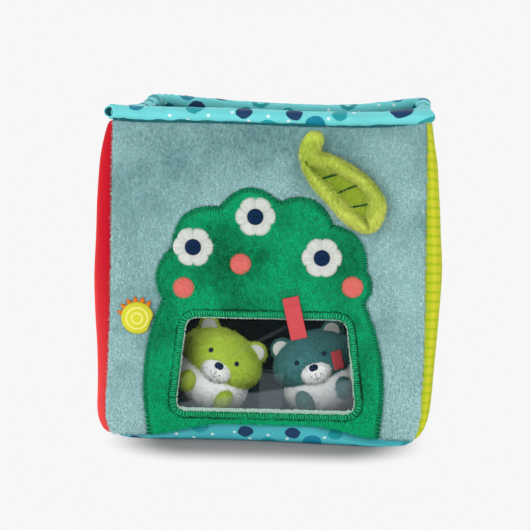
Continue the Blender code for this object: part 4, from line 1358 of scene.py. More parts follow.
def grown_pile(name, piece, count, reach, thick, lie, paint, seed, stand=0.5, loose=0.35, ruffle=0.0,
               keep=None, pressed=None):
    """Pile on a finished piece. lie gives the way it is brushed at each spot, keep leaves bare places out,
    and pressed gives the share of its length that still stands."""
    dice = np.random.default_rng(seed)
    first, second, third = skin_corners(piece)
    facing = np.cross(second - first, third - first)
    areas = np.linalg.norm(facing, axis=1)
    facing /= np.maximum(areas, 1e-12)[:, None]
    if keep is not None:
        areas = areas * keep((first + second + third) / 3, facing)
    pick = dice.choice(len(areas), count, p=areas / areas.sum())
    share, other = np.sqrt(dice.random(count))[:, None], dice.random(count)[:, None]
    roots = first[pick] * (1 - share) + second[pick] * share * (1 - other) + third[pick] * share * other
    facing = facing[pick]
    along = unit(lie(roots) * (1 - stand) + facing * stand + dice.normal(size=(count, 3)) * loose)
    standing = (along * facing).sum(1)
    along = unit(along + facing * np.maximum(LEAST_STAND - standing, 0)[:, None])
    across = unit(np.cross(along, dice.normal(size=(count, 3))))
    lengths = reach * dice.uniform(*FIBRE_LENGTHS, count)
    if pressed is not None:
        lengths *= pressed(roots)
    places = np.zeros((count, 4, 4))
    places[:, :3, 0] = across * thick
    places[:, :3, 1] = np.cross(along, across) * thick
    places[:, :3, 2] = along * lengths[:, None]
    places[:, :3, 3] = roots - facing * thick * 0.5
    places[:, 3, 3] = 1
    tones = dice.uniform(*FIBRE_TONES, count)
    lit_as = unit(facing + dice.normal(size=(count, 3)) * ruffle)
    return repeated(name, fibre_shape(), places, tones, paint, "FibreTone", FIBRE_TIP_LIGHT, lit_as)


def clear_of_stitches(spots, facing):
    """True on the applique's outer face, away from its two satin edges."""
    outer, _, _ = near_outline(sewn_bush, spots[:, [0, 2]])
    inner, _, _ = near_outline(opening, spots[:, [0, 2]])
    return (outer > BUSH_SATIN_REACH) & (inner > WINDOW_SATIN_REACH) & (facing[:, 1] < -0.3)


def outside_bush(spots, facing):
    """True where the front panel isn't under the applique, on its outer face."""
    away, _, within = near_outline(sewn_bush, spots[:, [0, 2]])
    return (~within) & (away > BUSH_GAP) & (facing[:, 1] < -0.2)


def pressed_by_ribbon(spots):
    """The pile is held down where the ribbon is sewn on, and just above, where it lies when turned up."""
    away = (spots - np.array(RIBBON_SEAM))[:, [0, 2]]
    across = np.abs(away @ (math.cos(RIBBON_LEAN), math.sin(RIBBON_LEAN)))
    above = away @ (-math.sin(RIBBON_LEAN), math.cos(RIBBON_LEAN))
    beneath = across < RIBBON_WIDTH / 2 + RIBBON_PRESS_MARGIN
    level = (above > -RIBBON_PRESS_BELOW) & (above < RIBBON_PRESS)
    return np.where(beneath & level, PRESSED_SHARE, 1.0)


def pressed_by_leaf(spots):
    """The panel's pile is held down where the leaf's stem is sewn on."""
    away = np.linalg.norm((spots - np.array(LEAF_SEAM))[:, [0, 2]], axis=1)
    return np.where(away < LEAF_PRESS, PRESSED_SHARE, 1.0)


grey_green_fibre = fibre_paint("grey_green_fibre", PILE_DARK, PILE_LIGHT)
# The green pile is lighter low down too, as painted light from the table.
green_fibre = fibre_paint("green_fibre", GREEN_PILE_DARK, GREEN_PILE_LIGHT, patchy=3.4, slope=5.2,
                          even_height=0.137)
front_pile = grown_pile("front_panel_pile", covers["front"][0], FRONT_FIBRES, PILE_REACH, PILE_THICK,
                        partial(swirled, downward=(0.55, 0, -1), swing=2.0, scale=15), grey_green_fibre,
                        seed=3, keep=outside_bush, pressed=pressed_by_leaf)
back_pile = grown_pile("back_panel_pile", covers["back"][0], BACK_FIBRES, PILE_REACH, PILE_THICK * 1.15,
                       partial(swirled, downward=(-0.25, 0, -1), swing=1.5, scale=22), grey_green_fibre,
                       seed=4, keep=lambda spots, facing: facing[:, 1] > 0.2)
bush_pile = grown_pile("bush_pile", applique, APPLIQUE_FIBRES, PILE_REACH * 0.8, PILE_THICK,
                       partial(swirled, downward=(0.3, 0, -1), swing=1.8, scale=26), green_fibre,
                       seed=5, keep=clear_of_stitches, pressed=pressed_by_ribbon)
for piece, finish in ((front_pile, "plush"), (back_pile, "plush"), (bush_pile, "green_plush")):
    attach(piece, "cube")

# Embroidery on the applique: three white blossoms with navy middles and three coral berries.
# Each is dense satin thread over a low pad, sewn straight into the plush.
BLOSSOM_RADIUS = 0.013
BLOSSOM_PETALS = 6
PETAL_NOTCH = 0.10
PETAL_CREASE = 0.0005
BLOSSOM_HEART = 0.0052
HEART_RISE = 0.0013
BERRY_RADIUS = 0.007
PATCH_RISE = 0.0016
PATCH_CLOTH = 0.0006
PATCH_GAP = 0.0002
SATIN_PITCH = 0.0011
BLOSSOM_SHARES = ((-0.62, 0.735), (-0.10, 0.860), (0.46, 0.700))
BERRY_SHARES = ((-0.70, 0.570), (-0.22, 0.670), (0.72, 0.585))
WHITE_DARK = (0.20, 0.23, 0.21, 1.0)
WHITE_LIGHT = (0.72, 0.74, 0.70, 1.0)
NAVY = (0.0, 0.003, 0.018, 1.0)
NAVY_LIGHT = (0.001, 0.022, 0.080, 1.0)
CORAL_DARK = (0.36, 0.045, 0.045, 1.0)
CORAL_LIGHT = (0.72, 0.160, 0.135, 1.0)


def satin_paint(name, dark, light, slant=None):
    """Satin thread in fine ridges: it runs up the cloth map, or straight across at a slant."""
    made = fabric_paint(name, 0.6, 0.12)
    if slant is None:
        flat = on_cloth(made)
    else:
        upright = mapped(on_object(made), Rotation=(math.radians(90), 0, 0))
        flat = mapped(upright, Rotation=(0, 0, math.radians(slant)))
    across, _, _ = parts(flat)
    height = wave(mottled(flat, 700.0, 2.0) * (SATIN_PITCH * 0.8) + across, SATIN_PITCH) * 0.5 + 0.5
    streaks = mottled(mapped(flat, Scale=(1500.0, 160.0, 1.0)), 1.0, 2.0)
    share = clamped(height * 0.60 + streaks * 0.9)
    return coloured(made, blended(share, dark, light), height + streaks, 0.00018, 0.9)


def round_patch(name, middle, facing, upward, reach, rise, paint, rings=10, points=84, flatness=4.0,
                sink=0.0):
    """A domed patch. reach gives its radius at an angle, and rise its height at its middle."""
    facing = Vector(facing).normalized()
    side = Vector(upward).cross(facing).normalized()
    above = facing.cross(side)
    middle = Vector(middle)
    widest = max(reach(2 * math.pi * k / points) for k in range(points))

    def spot(u, v):
        angle = -2 * math.pi * u
        away = side * math.cos(angle) + above * math.sin(angle)
        return middle + away * reach(angle) * v + facing * (rise * (1 - v ** flatness) - sink)

    return sewn(name, points, rings, (2 * math.pi * widest, widest), spot, paint, PATCH_CLOTH, weld=True)


def even_reach(radius):
    """The reach of a plain round patch."""
    return lambda angle: radius


def lobes(angle):
    """1 along the middle of each petal, and 0 between two petals."""
    return abs(math.cos(BLOSSOM_PETALS * angle / 2))


def petal_reach(angle):
    """A blossom's radius at an angle: six round petals."""
    return BLOSSOM_RADIUS * (1 - PETAL_NOTCH + PETAL_NOTCH * lobes(angle) ** 0.7)


white_satin = satin_paint("white_satin_thread", WHITE_DARK, WHITE_LIGHT)
navy_satin = satin_paint("navy_satin_thread", NAVY, NAVY_LIGHT)
coral_satin = satin_paint("coral_satin_thread", CORAL_DARK, CORAL_LIGHT, slant=35)
PATCH_BACK = APPLIQUE_BACK - APPLIQUE_CROWN - PATCH_GAP
embroidered = partial(round_patch, facing=TOWARDS_US, upward=(0, 0, 1))
for name, shares in zip(("left", "top", "right"), BLOSSOM_SHARES):
    x, z = bush_spot(*shares)
    place = Vector((x, PATCH_BACK, z))
    blossom = embroidered("white_blossom_" + name, place, reach=petal_reach, rise=PATCH_RISE,
                          paint=white_satin)
    with reworked(blossom) as bm:
        for vert in bm.verts:
            offset = vert.co - place
            angle, away = math.atan2(offset.z, offset.x), math.hypot(offset.x, offset.z) / BLOSSOM_RADIUS
            vert.co.y += PETAL_CREASE * (1 - lobes(angle)) ** 4 * min(away * 2.5, 1)
    heart = embroidered("blossom_heart_" + name, place - Vector((0, PATCH_RISE + PATCH_GAP, 0)),
                        reach=even_reach(BLOSSOM_HEART), rise=HEART_RISE, paint=navy_satin, rings=6,
                        points=40)
    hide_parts("blossom_" + name)
    for piece in (blossom, heart):
        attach(piece, "cube")
for name, shares in zip(("left", "middle", "right"), BERRY_SHARES):
    x, z = bush_spot(*shares)
    berry = embroidered("coral_berry_" + name, Vector((x, PATCH_BACK, z)), reach=even_reach(BERRY_RADIUS),
                        rise=PATCH_RISE, paint=coral_satin, rings=8, points=56, flatness=2.6)
    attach(berry, "cube")
    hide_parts("berry_" + name)

# Leaf: a stuffed lime leaf of long soft plush, rolled over at its edge round a darker velour face with
# three stitched veins. Only the end of its stem is sewn to the panel, so it lifts as a flap.
LEAF_LENGTH = 0.0608
LEAF_THICKNESS = 0.0095
LEAF_LEAN = math.radians(39.0)
LEAF_JOIN = Vector((0.0266, 0, WALL_FOOT + PANEL_HEIGHT - 0.0195))
LEAF_DOWN = Vector((math.sin(LEAF_LEAN), 0, -math.cos(LEAF_LEAN)))
LEAF_ACROSS = Vector((math.cos(LEAF_LEAN), 0, math.sin(LEAF_LEAN)))
LEAF_BACK = APPLIQUE_BACK - 0.0028
STEM_LEAN = math.radians(9.0)
STEM_LENGTH = 0.0108
STEM_RADIUS = 0.0060
STEM_BEND = Vector((-0.0022, 0, 0.0040))
STEM_FOOT_SHARE = 0.45
STEM_BALLS = 13
STEM_GAP = 0.0006
LEAF_VOXEL = 0.00085
LEAF_BEND = 0.0012
LEAF_PLUMPNESS = 0.07
LEAF_CREASES = (((0.01, -0.062), (0.25, -0.045), 0.0045), ((0.84, 0.045), (0.93, 0.030), 0.0030))
CREASE_WIDTH = 0.0013
LEAF_EDGE_SHARES = (
    (-0.020, -0.085), (0.110, -0.132), (0.280, -0.162), (0.450, -0.150),
    (0.620, -0.142), (0.790, -0.114), (0.930, -0.054), (0.992, 0.036),
    (0.975, 0.146), (0.890, 0.272), (0.770, 0.332), (0.630, 0.338),
    (0.470, 0.308), (0.310, 0.262), (0.160, 0.190), (0.030, 0.100),
)
LEAF_FIELD_SHARES = (
    (0.100, -0.035), (0.150, -0.050), (0.280, -0.047), (0.450, -0.034),
    (0.620, -0.016), (0.750, 0.004), (0.840, 0.022), (0.868, 0.048),
    (0.840, 0.104), (0.775, 0.172), (0.710, 0.214), (0.600, 0.226),
    (0.470, 0.202), (0.330, 0.140), (0.210, 0.062), (0.120, -0.005),
)
LEAF_ROLL = ((0.30, 0.00), (0.10, 0.02), (0.01, 0.28), (0.05, 0.70), (0.30, 0.98), (0.62, 0.97), (0.88, 0.74),
             (1.02, 0.56), (1.10, 0.30))
VEINS = (
    ((0.256, -0.046), (0.318, 0.118)),
    ((0.468, -0.026), (0.532, 0.204)),
    ((0.664, -0.010), (0.768, 0.190)),
)
VEIN_STITCHES = 6
VEIN_STITCH = (0.0027, 0.0015, 0.0012)
VEIN_RISE = 0.0012
VEIN_LEAN = Vector((0, 0, 0.22))
FIELD_Y = LEAF_BACK - LEAF_THICKNESS * 0.34
FIELD_MIDDLE = Vector((0.50, 0.065))
FIELD_TUCK_SHARE = 1.12
FIELD_SWELL = 0.0007
FIELD_CLOTH = 0.0006
LIME_DARK = (0.26, 0.36, 0.025, 1.0)
LIME_LIGHT = (0.62, 0.74, 0.12, 1.0)
LEAF_FIBRES = 23000
LEAF_FUR_REACH = 0.0027
LEAF_FUR_DARK = (0.37, 0.57, 0.040, 1.0)
LEAF_FUR_LIGHT = (0.95, 1.0, 0.22, 1.0)
FIELD_DARK = (0.070, 0.130, 0.006, 1.0)
FIELD_LIGHT = (0.34, 0.46, 0.030, 1.0)
VEIN_DARK = (0.0, 0.030, 0.010, 1.0)
VEIN_LIGHT = (0.003, 0.095, 0.035, 1.0)


def leaf_spot(along_share, across_share, y):
    """A place at depth y, from shares of the leaf's length along it and across it."""
    spot = LEAF_JOIN + (LEAF_DOWN * along_share + LEAF_ACROSS * across_share) * LEAF_LENGTH
    spot.y = y
    return spot


def on_leaf(share, y):
    """The same for both shares as a pair, a little further from the panel towards the leaf's tip."""
    return leaf_spot(share.x, share.y, y - LEAF_BEND * max(share.x, 0) ** 2)


def leaf_roll_spot(u, v):
    """A point of the rolled edge: u along the leaf's outline, v from its back round to its front."""
    outer = eased_through(LEAF_EDGE_SHARES, u, True)
    inner = eased_through(LEAF_FIELD_SHARES, u, True)
    across, rise = eased_through(LEAF_ROLL, v, False)
    share = outer.lerp(inner, across)
    plump = 1 + LEAF_PLUMPNESS * noise.noise(Vector((share.x * 9, share.y * 9, 1)))
    return on_leaf(share, LEAF_BACK - LEAF_THICKNESS * rise * plump)


def melted(piece, voxel, smoothing):
    """Joins a piece's overlapping stuffed forms into one skin, and softens where they meet."""
    joined = piece.modifiers.new("one_skin", "REMESH")
    joined.mode = "VOXEL"
    joined.voxel_size = voxel
    softened = piece.modifiers.new("soft", "SMOOTH")
    softened.iterations = smoothing
    softened.factor = 0.5
    view = bpy.context.evaluated_depsgraph_get()
    shaped = bpy.data.meshes.new_from_object(piece.evaluated_get(view))
    piece.modifiers.clear()
    piece.data = shaped
    piece.data.shade_smooth()
    return piece


leaf_fur_paint = plush_paint("lime_plush", LIME_DARK, LIME_LIGHT, strand=(1300, 420), turn=-39, relief=0.0007)
leaf = sewn("stuffed_leaf", 96, 26, (0.17, 0.03), leaf_roll_spot, leaf_fur_paint, weld=True)
stem_foot = leaf_spot(0.01, 0.0, LEAF_BACK - LEAF_THICKNESS * STEM_FOOT_SHARE)
stem_up = Vector((math.sin(STEM_LEAN), 0, math.cos(STEM_LEAN)))
stem_top = LEAF_JOIN + stem_up * STEM_LENGTH
stem_top.y = FRONT_Y - STEM_RADIUS - STEM_GAP
stem_bend = LEAF_JOIN + STEM_BEND
stem_bend.y = (stem_foot.y + stem_top.y) / 2
with reworked(leaf) as bm:
    bmesh.ops.holes_fill(bm, edges=[edge for edge in bm.edges if edge.is_boundary], sides=200)
    for k in range(STEM_BALLS):
        t = k / (STEM_BALLS - 1)
        ball = Matrix.Translation(bent(stem_foot, stem_bend, stem_top, t))
        size = STEM_RADIUS * (0.98 - 0.10 * t)
        bmesh.ops.create_uvsphere(bm, u_segments=20, v_segments=14, radius=size, matrix=ball)
    bmesh.ops.recalc_face_normals(bm, faces=bm.faces)
melted(leaf, voxel=LEAF_VOXEL, smoothing=6)
for start, end, depth in LEAF_CREASES:
    start, end = leaf_spot(*start, 0), leaf_spot(*end, 0)
    for vert in leaf.data.vertices:
        here = Vector((vert.co.x, 0, vert.co.z))
        _, share = intersect_point_line(here, start, end)
        nearest = start.lerp(end, min(max(share, 0), 1))
        if vert.co.y < LEAF_BACK - LEAF_THICKNESS / 2:
            vert.co.y += depth * hump((here - nearest).length, CREASE_WIDTH)


def field_spot(u, v):
    """A point of the velour face, which reaches a little in under the rolled edge."""
    share = FIELD_MIDDLE.lerp(eased_through(LEAF_FIELD_SHARES, u, True), v * FIELD_TUCK_SHARE)
    return on_leaf(share, FIELD_Y - FIELD_SWELL * (1 - v * v))


velour = plush_paint("green_velour", FIELD_DARK, FIELD_LIGHT, strand=(1600, 900), turn=20, relief=0.0003)
field = sewn("leaf_face", 72, 12, (0.1, 0.02), field_spot, velour, FIELD_CLOTH, weld=True)
vein_thread = thread_paint("dark_green_thread", VEIN_DARK, VEIN_LIGHT)
places, tones = [], []
for start, end in VEINS:
    start, end = Vector(start), Vector(end)
    for k in range(VEIN_STITCHES):
        here = on_leaf(start.lerp(end, (k + 0.5) / VEIN_STITCHES), FIELD_Y - VEIN_RISE)
        way = LEAF_DOWN * (end - start).x + LEAF_ACROSS * (end - start).y
        way = (way.normalized() + VEIN_LEAN).normalized()
        places.append(stitch_place(here, way, Vector(TOWARDS_US), *VEIN_STITCH))
        tones.append(stitch_dice.random())
veins = repeated("leaf_veins", stitch_shape(), places, tones, vein_thread, "StitchTone")


def short_at_seam(spots):
    """The fur is short at the end of the stem, on the side that turns to the panel as the leaf lifts."""
    away = spots - np.array(stem_top)
    far = np.linalg.norm(away, axis=1)
    towards = away @ np.array(Vector((0, -0.5, 0)) - LEAF_DOWN * 0.866) / np.maximum(far, 1e-6)
    return np.where((far < STEM_RADIUS * 1.4) & (towards > 0.45), PRESSED_SHARE, 1.0)


lime_fibre = fibre_paint("lime_fibre", LEAF_FUR_DARK, LEAF_FUR_LIGHT, patch=60.0, lean=-39.0, patchy=1.1,
                         locky=1.5)
leaf_fur = grown_pile("leaf_fur", leaf, LEAF_FIBRES, LEAF_FUR_REACH, PILE_THICK * 1.2,
                      partial(swirled, downward=LEAF_DOWN, swing=1.6, scale=60), lime_fibre, seed=6,
                      stand=0.45, loose=0.3, ruffle=0.28, keep=lambda spots, facing: facing[:, 1] < 0.5,
                      pressed=short_at_seam)
leaf_finishes = ("lime_plush", "lime_plush", "leaf_velour", "leaf_velour")
for piece, finish in zip((leaf, leaf_fur, field, veins), leaf_finishes):
    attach(piece, "leaf")
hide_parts("leaf_plush")
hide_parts("leaf_field")

# Ribbon: a loop of coral grosgrain, folded at its lower end.
# Both of its ends are caught in a seam on the applique, so that it turns up as a flap.
RIBBON_LENGTH = 0.0275
RIBBON_GAP = 0.0011
RIBBON_SEAM_GAP = 0.0005
RIBBON_HEM = 0.0048
RIBBON_CREASE, RIBBON_CREASE_WIDTH = 0.0012, 0.0007
RIBBON_LIFT = 0.0013
RIBBON_RIPPLE = 0.0004
RIBBON_CLOTH = 0.00045
ZIGZAG_RUN = 0.0013
ZIGZAG_PITCH = 0.0014
RIBBON_THREAD = 0.0005
RIBBON_CORAL = (0.24, 0.013, 0.021, 1.0)
RIBBON_CORAL_LIGHT = (0.87, 0.108, 0.126, 1.0)
grosgrain = fabric_paint("coral_grosgrain", 0.6)
across, along, _ = parts(on_cloth(grosgrain))
rib = wave(along + maths("PINGPONG", across, ZIGZAG_RUN), ZIGZAG_PITCH)
height = rib * 0.4 + wave(across, RIBBON_THREAD) * 0.1 + 0.5
coloured(grosgrain, blended(height, RIBBON_CORAL, RIBBON_CORAL_LIGHT), height, 0.00018, 0.9)


def ribbon_spot(u, v):
    """A point of the strip, down its back ply, round the fold and up its front ply."""
    across = (u - 0.5) * RIBBON_WIDTH
    run = v * 2 * RIBBON_LENGTH
    drop = min(run, 2 * RIBBON_LENGTH - run)
    away = min(drop / RIBBON_HEM, 1)
    gap = RIBBON_SEAM_GAP + (RIBBON_GAP - RIBBON_SEAM_GAP) * away
    near_fold = max(1 - (RIBBON_LENGTH - drop) / RIBBON_GAP, 0)
    ply = (-0.5 if run < RIBBON_LENGTH else 0.5) * math.sqrt(1 - near_fold ** 2 * 0.99)
    depth = gap / 2 + gap * ply
    lift = RIBBON_LIFT * math.sin(math.pi * min(drop / RIBBON_LENGTH, 1))
    lift += RIBBON_RIPPLE * math.cos(across * 200) * away
    crease = RIBBON_CREASE * hump(drop - RIBBON_HEM, RIBBON_CREASE_WIDTH)
    local = Vector((across, crease - depth - lift, -drop))
    return RIBBON_SEAM + Matrix.Rotation(-RIBBON_LEAN, 3, "Y") @ local


ribbon_size = (RIBBON_WIDTH, 2 * RIBBON_LENGTH)
ribbon = sewn("coral_ribbon", 12, 96, ribbon_size, ribbon_spot, grosgrain, RIBBON_CLOTH)
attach(ribbon, "ribbon")
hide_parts("ribbon_tag")

# Tab: a padded round of yellow cotton over an orange felt backing cut in rays, sewn in under the
# applique's left edge.
TAB_RADIUS = 0.0105
TAB_RISE = 0.0026
TAB_FELT_RISE = 0.0009
TAB_FELT_INSET = 0.0006
TAB_SEAM_SHARE = 0.85
TAB_SEAM_GAP = 0.0018
TAB_AT = 0.80
TAB_RAYS = 6
TAB_RAY_LENGTH = 0.0045
TAB_RAYS_FROM, TAB_RAYS_TO = math.radians(-15.0), math.radians(118.0)
TAB_YELLOW = (0.62, 0.59, 0.030, 1.0)
TAB_CREAM = (0.86, 0.86, 0.30, 1.0)
TAB_SHADE = (0.42, 0.42, 0.01, 1.0)
TAB_RINGS = (0.0068, 0.0034)
TAB_RING_EDGE = (0.00035, 0.0006)
ORANGE_DARK = (0.52, 0.10, 0.006, 1.0)
ORANGE_LIGHT = (0.84, 0.23, 0.012, 1.0)
edge_start, edge_end = (bush_spot(x, z) for x, z, _ in APPLIQUE_SHARES[:2])
tab_near = arc_spot(edge_start, edge_end, APPLIQUE_SHARES[0][2], TAB_AT)
tab_ahead = arc_spot(edge_start, edge_end, APPLIQUE_SHARES[0][2], 1)
tab_up = (tab_ahead - tab_near).normalized()
tab_out = Vector((-tab_up.y, tab_up.x))
tab_middle = tab_near + tab_out * (TAB_SEAM_GAP + TAB_RADIUS * TAB_SEAM_SHARE)
TAB_BACK = FRONT_Y - 0.0010


def tab_reach(radius, rayed):
    """The radius at an angle from straight up, cut off square at the seam."""
    def reach(angle):
        out = Vector((math.cos(angle), math.sin(angle)))
        towards_seam = -out.dot(tab_out)
        turned = math.atan2(out.dot(tab_up), out.dot(tab_out))
        size = radius
        if rayed and TAB_RAYS_FROM < turned < TAB_RAYS_TO:
            step = (turned - TAB_RAYS_FROM) / (TAB_RAYS_TO - TAB_RAYS_FROM) * TAB_RAYS
            size += TAB_RAY_LENGTH * (1 - abs(2 * (step % 1) - 1)) ** 0.9
        if towards_seam > 0.01:
            size = min(size, radius * TAB_SEAM_SHARE / towards_seam)
        return size
    return reach


felt = matted_paint("orange_felt", ORANGE_DARK, ORANGE_LIGHT, roughness=0.9, sheen=0.05, scale=1500.0,
                    detail=4.0, distance=0.0003)
sunny = fabric_paint("yellow_tab_cotton", 0.7)
spot = on_object(sunny)
in_plane = vectors("MULTIPLY", spot, (1.0, 0.0, 1.0))
away = vectors("DISTANCE", in_plane, (tab_middle.x, 0.0, tab_middle.y), "Value")
outer, inner = (1 - eased(maths("ABSOLUTE", away - radius), *TAB_RING_EDGE) for radius in TAB_RINGS)
colour = blended(clamped(outer + inner) * 0.75, TAB_YELLOW, TAB_CREAM)
threads = mottled(spot, 1800.0, 3.0)
coloured(sunny, blended(threads * 0.3, colour, TAB_SHADE), threads, 0.0002)
tab_spot = Vector((tab_middle.x, TAB_BACK, tab_middle.y))
rays = embroidered("tab_rays_felt", tab_spot, reach=tab_reach(TAB_RADIUS - TAB_FELT_INSET, True),
                   rise=TAB_FELT_RISE, paint=felt, rings=8, points=220, flatness=8.0)
disc = embroidered("tab_round", tab_spot - Vector((0, TAB_FELT_RISE, 0)), reach=tab_reach(TAB_RADIUS, False),
                   rise=TAB_RISE, paint=sunny, rings=12, points=96, flatness=2.6)
for piece, node, finish in ((rays, "tab_rays", "orange_felt"), (disc, "tab_disc", "yellow_felt")):
    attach(piece, "tab")
    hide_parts(node)

# Bears: two small stuffed bears that stand loose behind the window, one lime and one teal. Each has a white
# body and muzzle, white inner ears and stitched navy features.
HEAD = ((0.0, 0.0, 0.0360), (0.0280, 0.0235, 0.0190))
BODY = ((0.0, 0.0, 0.0190), (0.0265, 0.0205, 0.0200))
MUZZLE = ((0.0, -0.0190, 0.0315), (0.0105, 0.0075, 0.0078))
EAR = ((0.0180, 0.0010, 0.0500), (0.0075, 0.0050, 0.0075))
PAW = ((0.0135, -0.0165, 0.0150), (0.0058, 0.0060, 0.0072))
BEAR_VOXEL, FINE_VOXEL = 0.0011, 0.0007
INNER_EAR, INNER_EAR_RISE, INNER_EAR_SINK = 0.0056, 0.0010, 0.0006
EYE, EYE_RISE = 0.0017, 0.0007
EYE_ASIDE, EYE_AHEAD, EYE_UP = 0.0100, -0.022, 0.0055
NOSE, NOSE_RISE = (0.0022, 0.0008, 0.0004), 0.0009
BEARS = (
    ("toy_lime", "lime_plush", Vector((-0.04787, -0.0609, 0.01543)), math.radians(28.0),
     (0.26, 0.40, 0.016, 1.0), (0.60, 0.78, 0.090, 1.0)),
    ("toy_teal", "teal_plush", Vector((0.04322, -0.0609, 0.01381)), math.radians(-21.0),
     (0.001, 0.034, 0.036, 1.0), (0.086, 0.31, 0.31, 1.0)),
)
BEAR_WHITE_DARK = (0.88, 0.90, 0.88, 1.0)
BEAR_WHITE_LIGHT = (1.0, 1.0, 0.99, 1.0)
FELT_WHITE_DARK = (0.50, 0.51, 0.48, 1.0)
FELT_WHITE_LIGHT = (0.74, 0.75, 0.72, 1.0)
BEAR_FUR_REACH = 0.0024
BEAR_FUR_THICK = 0.00040
BEAR_FIBRES = (9500, 7000, 1500, 1200, 1200)
MOUTH_STITCH = (0.0017, 0.0006, 0.0006)
BEAR_TAG_TOWARDS = (0.80, -1.0, -0.08)
BEAR_TAG_SIZE = (0.0075, 0.012)
BEAR_TAG_TURN = math.radians(8.0)
BEAR_TAG_GAP = 0.0016
BEAR_TAG_LIFT = 0.0009
BEAR_TAG_CLOTH = 0.0006


def stuffed_form(name, forms, turn, paint, voxel=BEAR_VOXEL, smoothing=5):
    """One skin round several round forms, each as (centre, radii) in the bear's own frame."""
    bm = bmesh.new()
    for centre, radii in forms:
        matrix = turn @ Matrix.Translation(centre) @ Matrix.Diagonal((*radii, 1))
        bmesh.ops.create_uvsphere(bm, u_segments=40, v_segments=26, radius=1, matrix=matrix)
    return melted(placed_mesh(name, bm, paint), voxel, smoothing)


def on_form(form, direction):
    """The point of a round form in a direction from its middle, and the way its surface faces there."""
    centre, radii = form
    direction = Vector(direction)
    offset = direction / Vector([part / radius for part, radius in zip(direction, radii)]).length
    facing = Vector([part / radius ** 2 for part, radius in zip(offset, radii)])
    return Vector(centre) + offset, facing.normalized()


def on_bear(turn, form, direction):
    """The same for a bear that stands as turn says."""
    place, facing = on_form(form, direction)
    return turn @ place, turn.to_3x3() @ facing


def nose_reach(angle):
    """The radius of a nose at an angle: wider than it is high, and fuller at its top."""
    size, wider, fuller = NOSE
    return size + wider * abs(math.cos(angle)) + fuller * math.sin(angle)


def mirrored(form):
    """The same form on the bear's other side."""
    (x, y, z), radii = form
    return (-x, y, z), radii


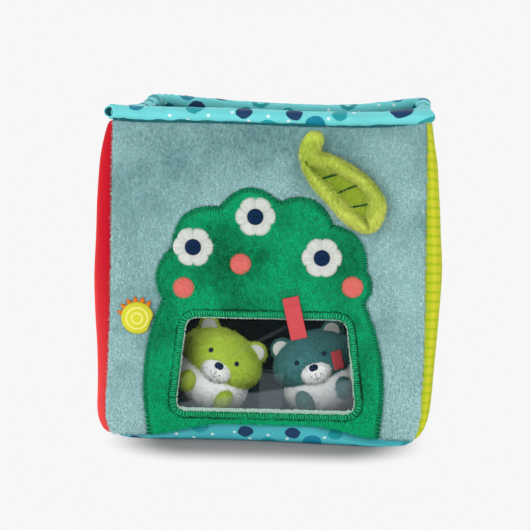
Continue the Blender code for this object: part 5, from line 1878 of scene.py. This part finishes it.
bear_white = plush_paint("white_plush", BEAR_WHITE_DARK, BEAR_WHITE_LIGHT, strand=(1500, 700), relief=0.0004)
felt_white = matted_paint("white_felt", FELT_WHITE_DARK, FELT_WHITE_LIGHT, roughness=0.8, sheen=0.3,
                          scale=1400.0, detail=3.0, distance=0.0002)
white_fibre = fibre_paint("white_fibre", BEAR_WHITE_DARK, BEAR_WHITE_LIGHT, patch=60.0)
for number, (bear, coat, spot, tilt, dark, light) in enumerate(BEARS):
    turn = Matrix.Translation(spot) @ Matrix.Rotation(tilt, 4, "Y")
    spin = turn.to_3x3()
    fur = plush_paint(bear + "_fur", dark, light, strand=(1500, 600), relief=0.0005)
    head = stuffed_form(bear + "_plush_head", (HEAD, EAR, mirrored(EAR)), turn, fur)
    trunk = stuffed_form(bear + "_plush_body", (BODY,), turn, bear_white)
    snout = stuffed_form(bear + "_plush_muzzle", (MUZZLE,), turn, bear_white, voxel=FINE_VOXEL)
    paws = [
        stuffed_form(f"{bear}_plush_paw_{side}", (form,), turn, fur, voxel=FINE_VOXEL)
        for side, form in (("left", mirrored(PAW)), ("right", PAW))
    ]
    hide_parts(bear + "_head", bear + "_ear_left", bear + "_ear_right")
    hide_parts(bear + "_body")
    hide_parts(bear + "_muzzle")
    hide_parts(bear + "_paw_left")
    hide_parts(bear + "_paw_right")
    fibre = fibre_paint(bear + "_fibre", dark, light, patch=60.0, patchy=1.6, locky=2.0)
    for piece, count in zip((head, trunk, snout, *paws), BEAR_FIBRES):
        finish, paint = ("white_plush", white_fibre) if piece in (trunk, snout) else (coat, fibre)
        fur_coat = grown_pile(piece.name + "_fur", piece, count, BEAR_FUR_REACH, BEAR_FUR_THICK,
                              partial(swirled, downward=spin @ Vector((0, 0, -1)), swing=1.4, scale=60),
                              paint, seed=20 + number, stand=0.32, loose=0.34, ruffle=0.38,
                              keep=lambda spots, facing: facing[:, 1] < 0.6)
        for furred in (piece, fur_coat):
            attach(furred, bear)
    upward = spin @ Vector((0, 0, 1))
    for side, form, aside in (("left", mirrored(EAR), -1), ("right", EAR, 1)):
        inner = round_patch(f"{bear}_inner_ear_{side}", *on_bear(turn, form, (0, -1, 0.12)), upward,
                            even_reach(INNER_EAR), INNER_EAR_RISE, felt_white, rings=6, points=48,
                            sink=INNER_EAR_SINK)
        towards_eye = (aside * EYE_ASIDE, EYE_AHEAD, EYE_UP)
        eye = round_patch(f"{bear}_eye_{side}", *on_bear(turn, HEAD, towards_eye), upward,
                          even_reach(EYE), EYE_RISE, navy_satin, rings=5, points=32)
        for piece in (inner, eye):
            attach(piece, bear)
    nose = round_patch(bear + "_nose", *on_bear(turn, MUZZLE, (0, -1, 0.55)), upward, nose_reach,
                       NOSE_RISE, navy_satin, rings=5, points=36)
    places = []
    for aside in (-1, 0, 1):
        for k in range(3):
            low, drop = (-0.05 - 0.20 * k, -0.1) if aside == 0 else (-0.62 + 0.10 * k * k, 0.08 * k)
            place, facing = on_bear(turn, MUZZLE, (aside * 0.17 * (k + 0.6), -1, low))
            ahead, _ = on_bear(turn, MUZZLE, (aside * 0.17 * (k + 0.9), -1, low + drop))
            places.append(stitch_place(place, ahead - place, facing, *MOUTH_STITCH))
    mouth = repeated(bear + "_mouth", stitch_shape(), places, [0.2] * len(places), vein_thread, "StitchTone")
    for piece in (nose, mouth):
        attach(piece, bear)

cheek, normal = on_form(HEAD, BEAR_TAG_TOWARDS)
tag_turn = (-normal).to_track_quat("Y", "Z").to_matrix() @ Matrix.Rotation(BEAR_TAG_TURN, 3, "Y")


def bear_tag_spot(u, v):
    """A point of the tag, which lies against the teal bear's cheek and lifts a little at its free end."""
    across, up = (u - 0.5) * BEAR_TAG_SIZE[0], (v - 0.5) * BEAR_TAG_SIZE[1]
    lift = BEAR_TAG_GAP + BEAR_TAG_LIFT * (1 - v) ** 2
    return turn @ (cheek + normal * lift + tag_turn @ Vector((across, 0, up)))


bear_tag = sewn("teal_bear_tag", 8, 16, BEAR_TAG_SIZE, bear_tag_spot, grosgrain, BEAR_TAG_CLOTH)
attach(bear_tag, "toy_teal")
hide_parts("toy_teal_tag")
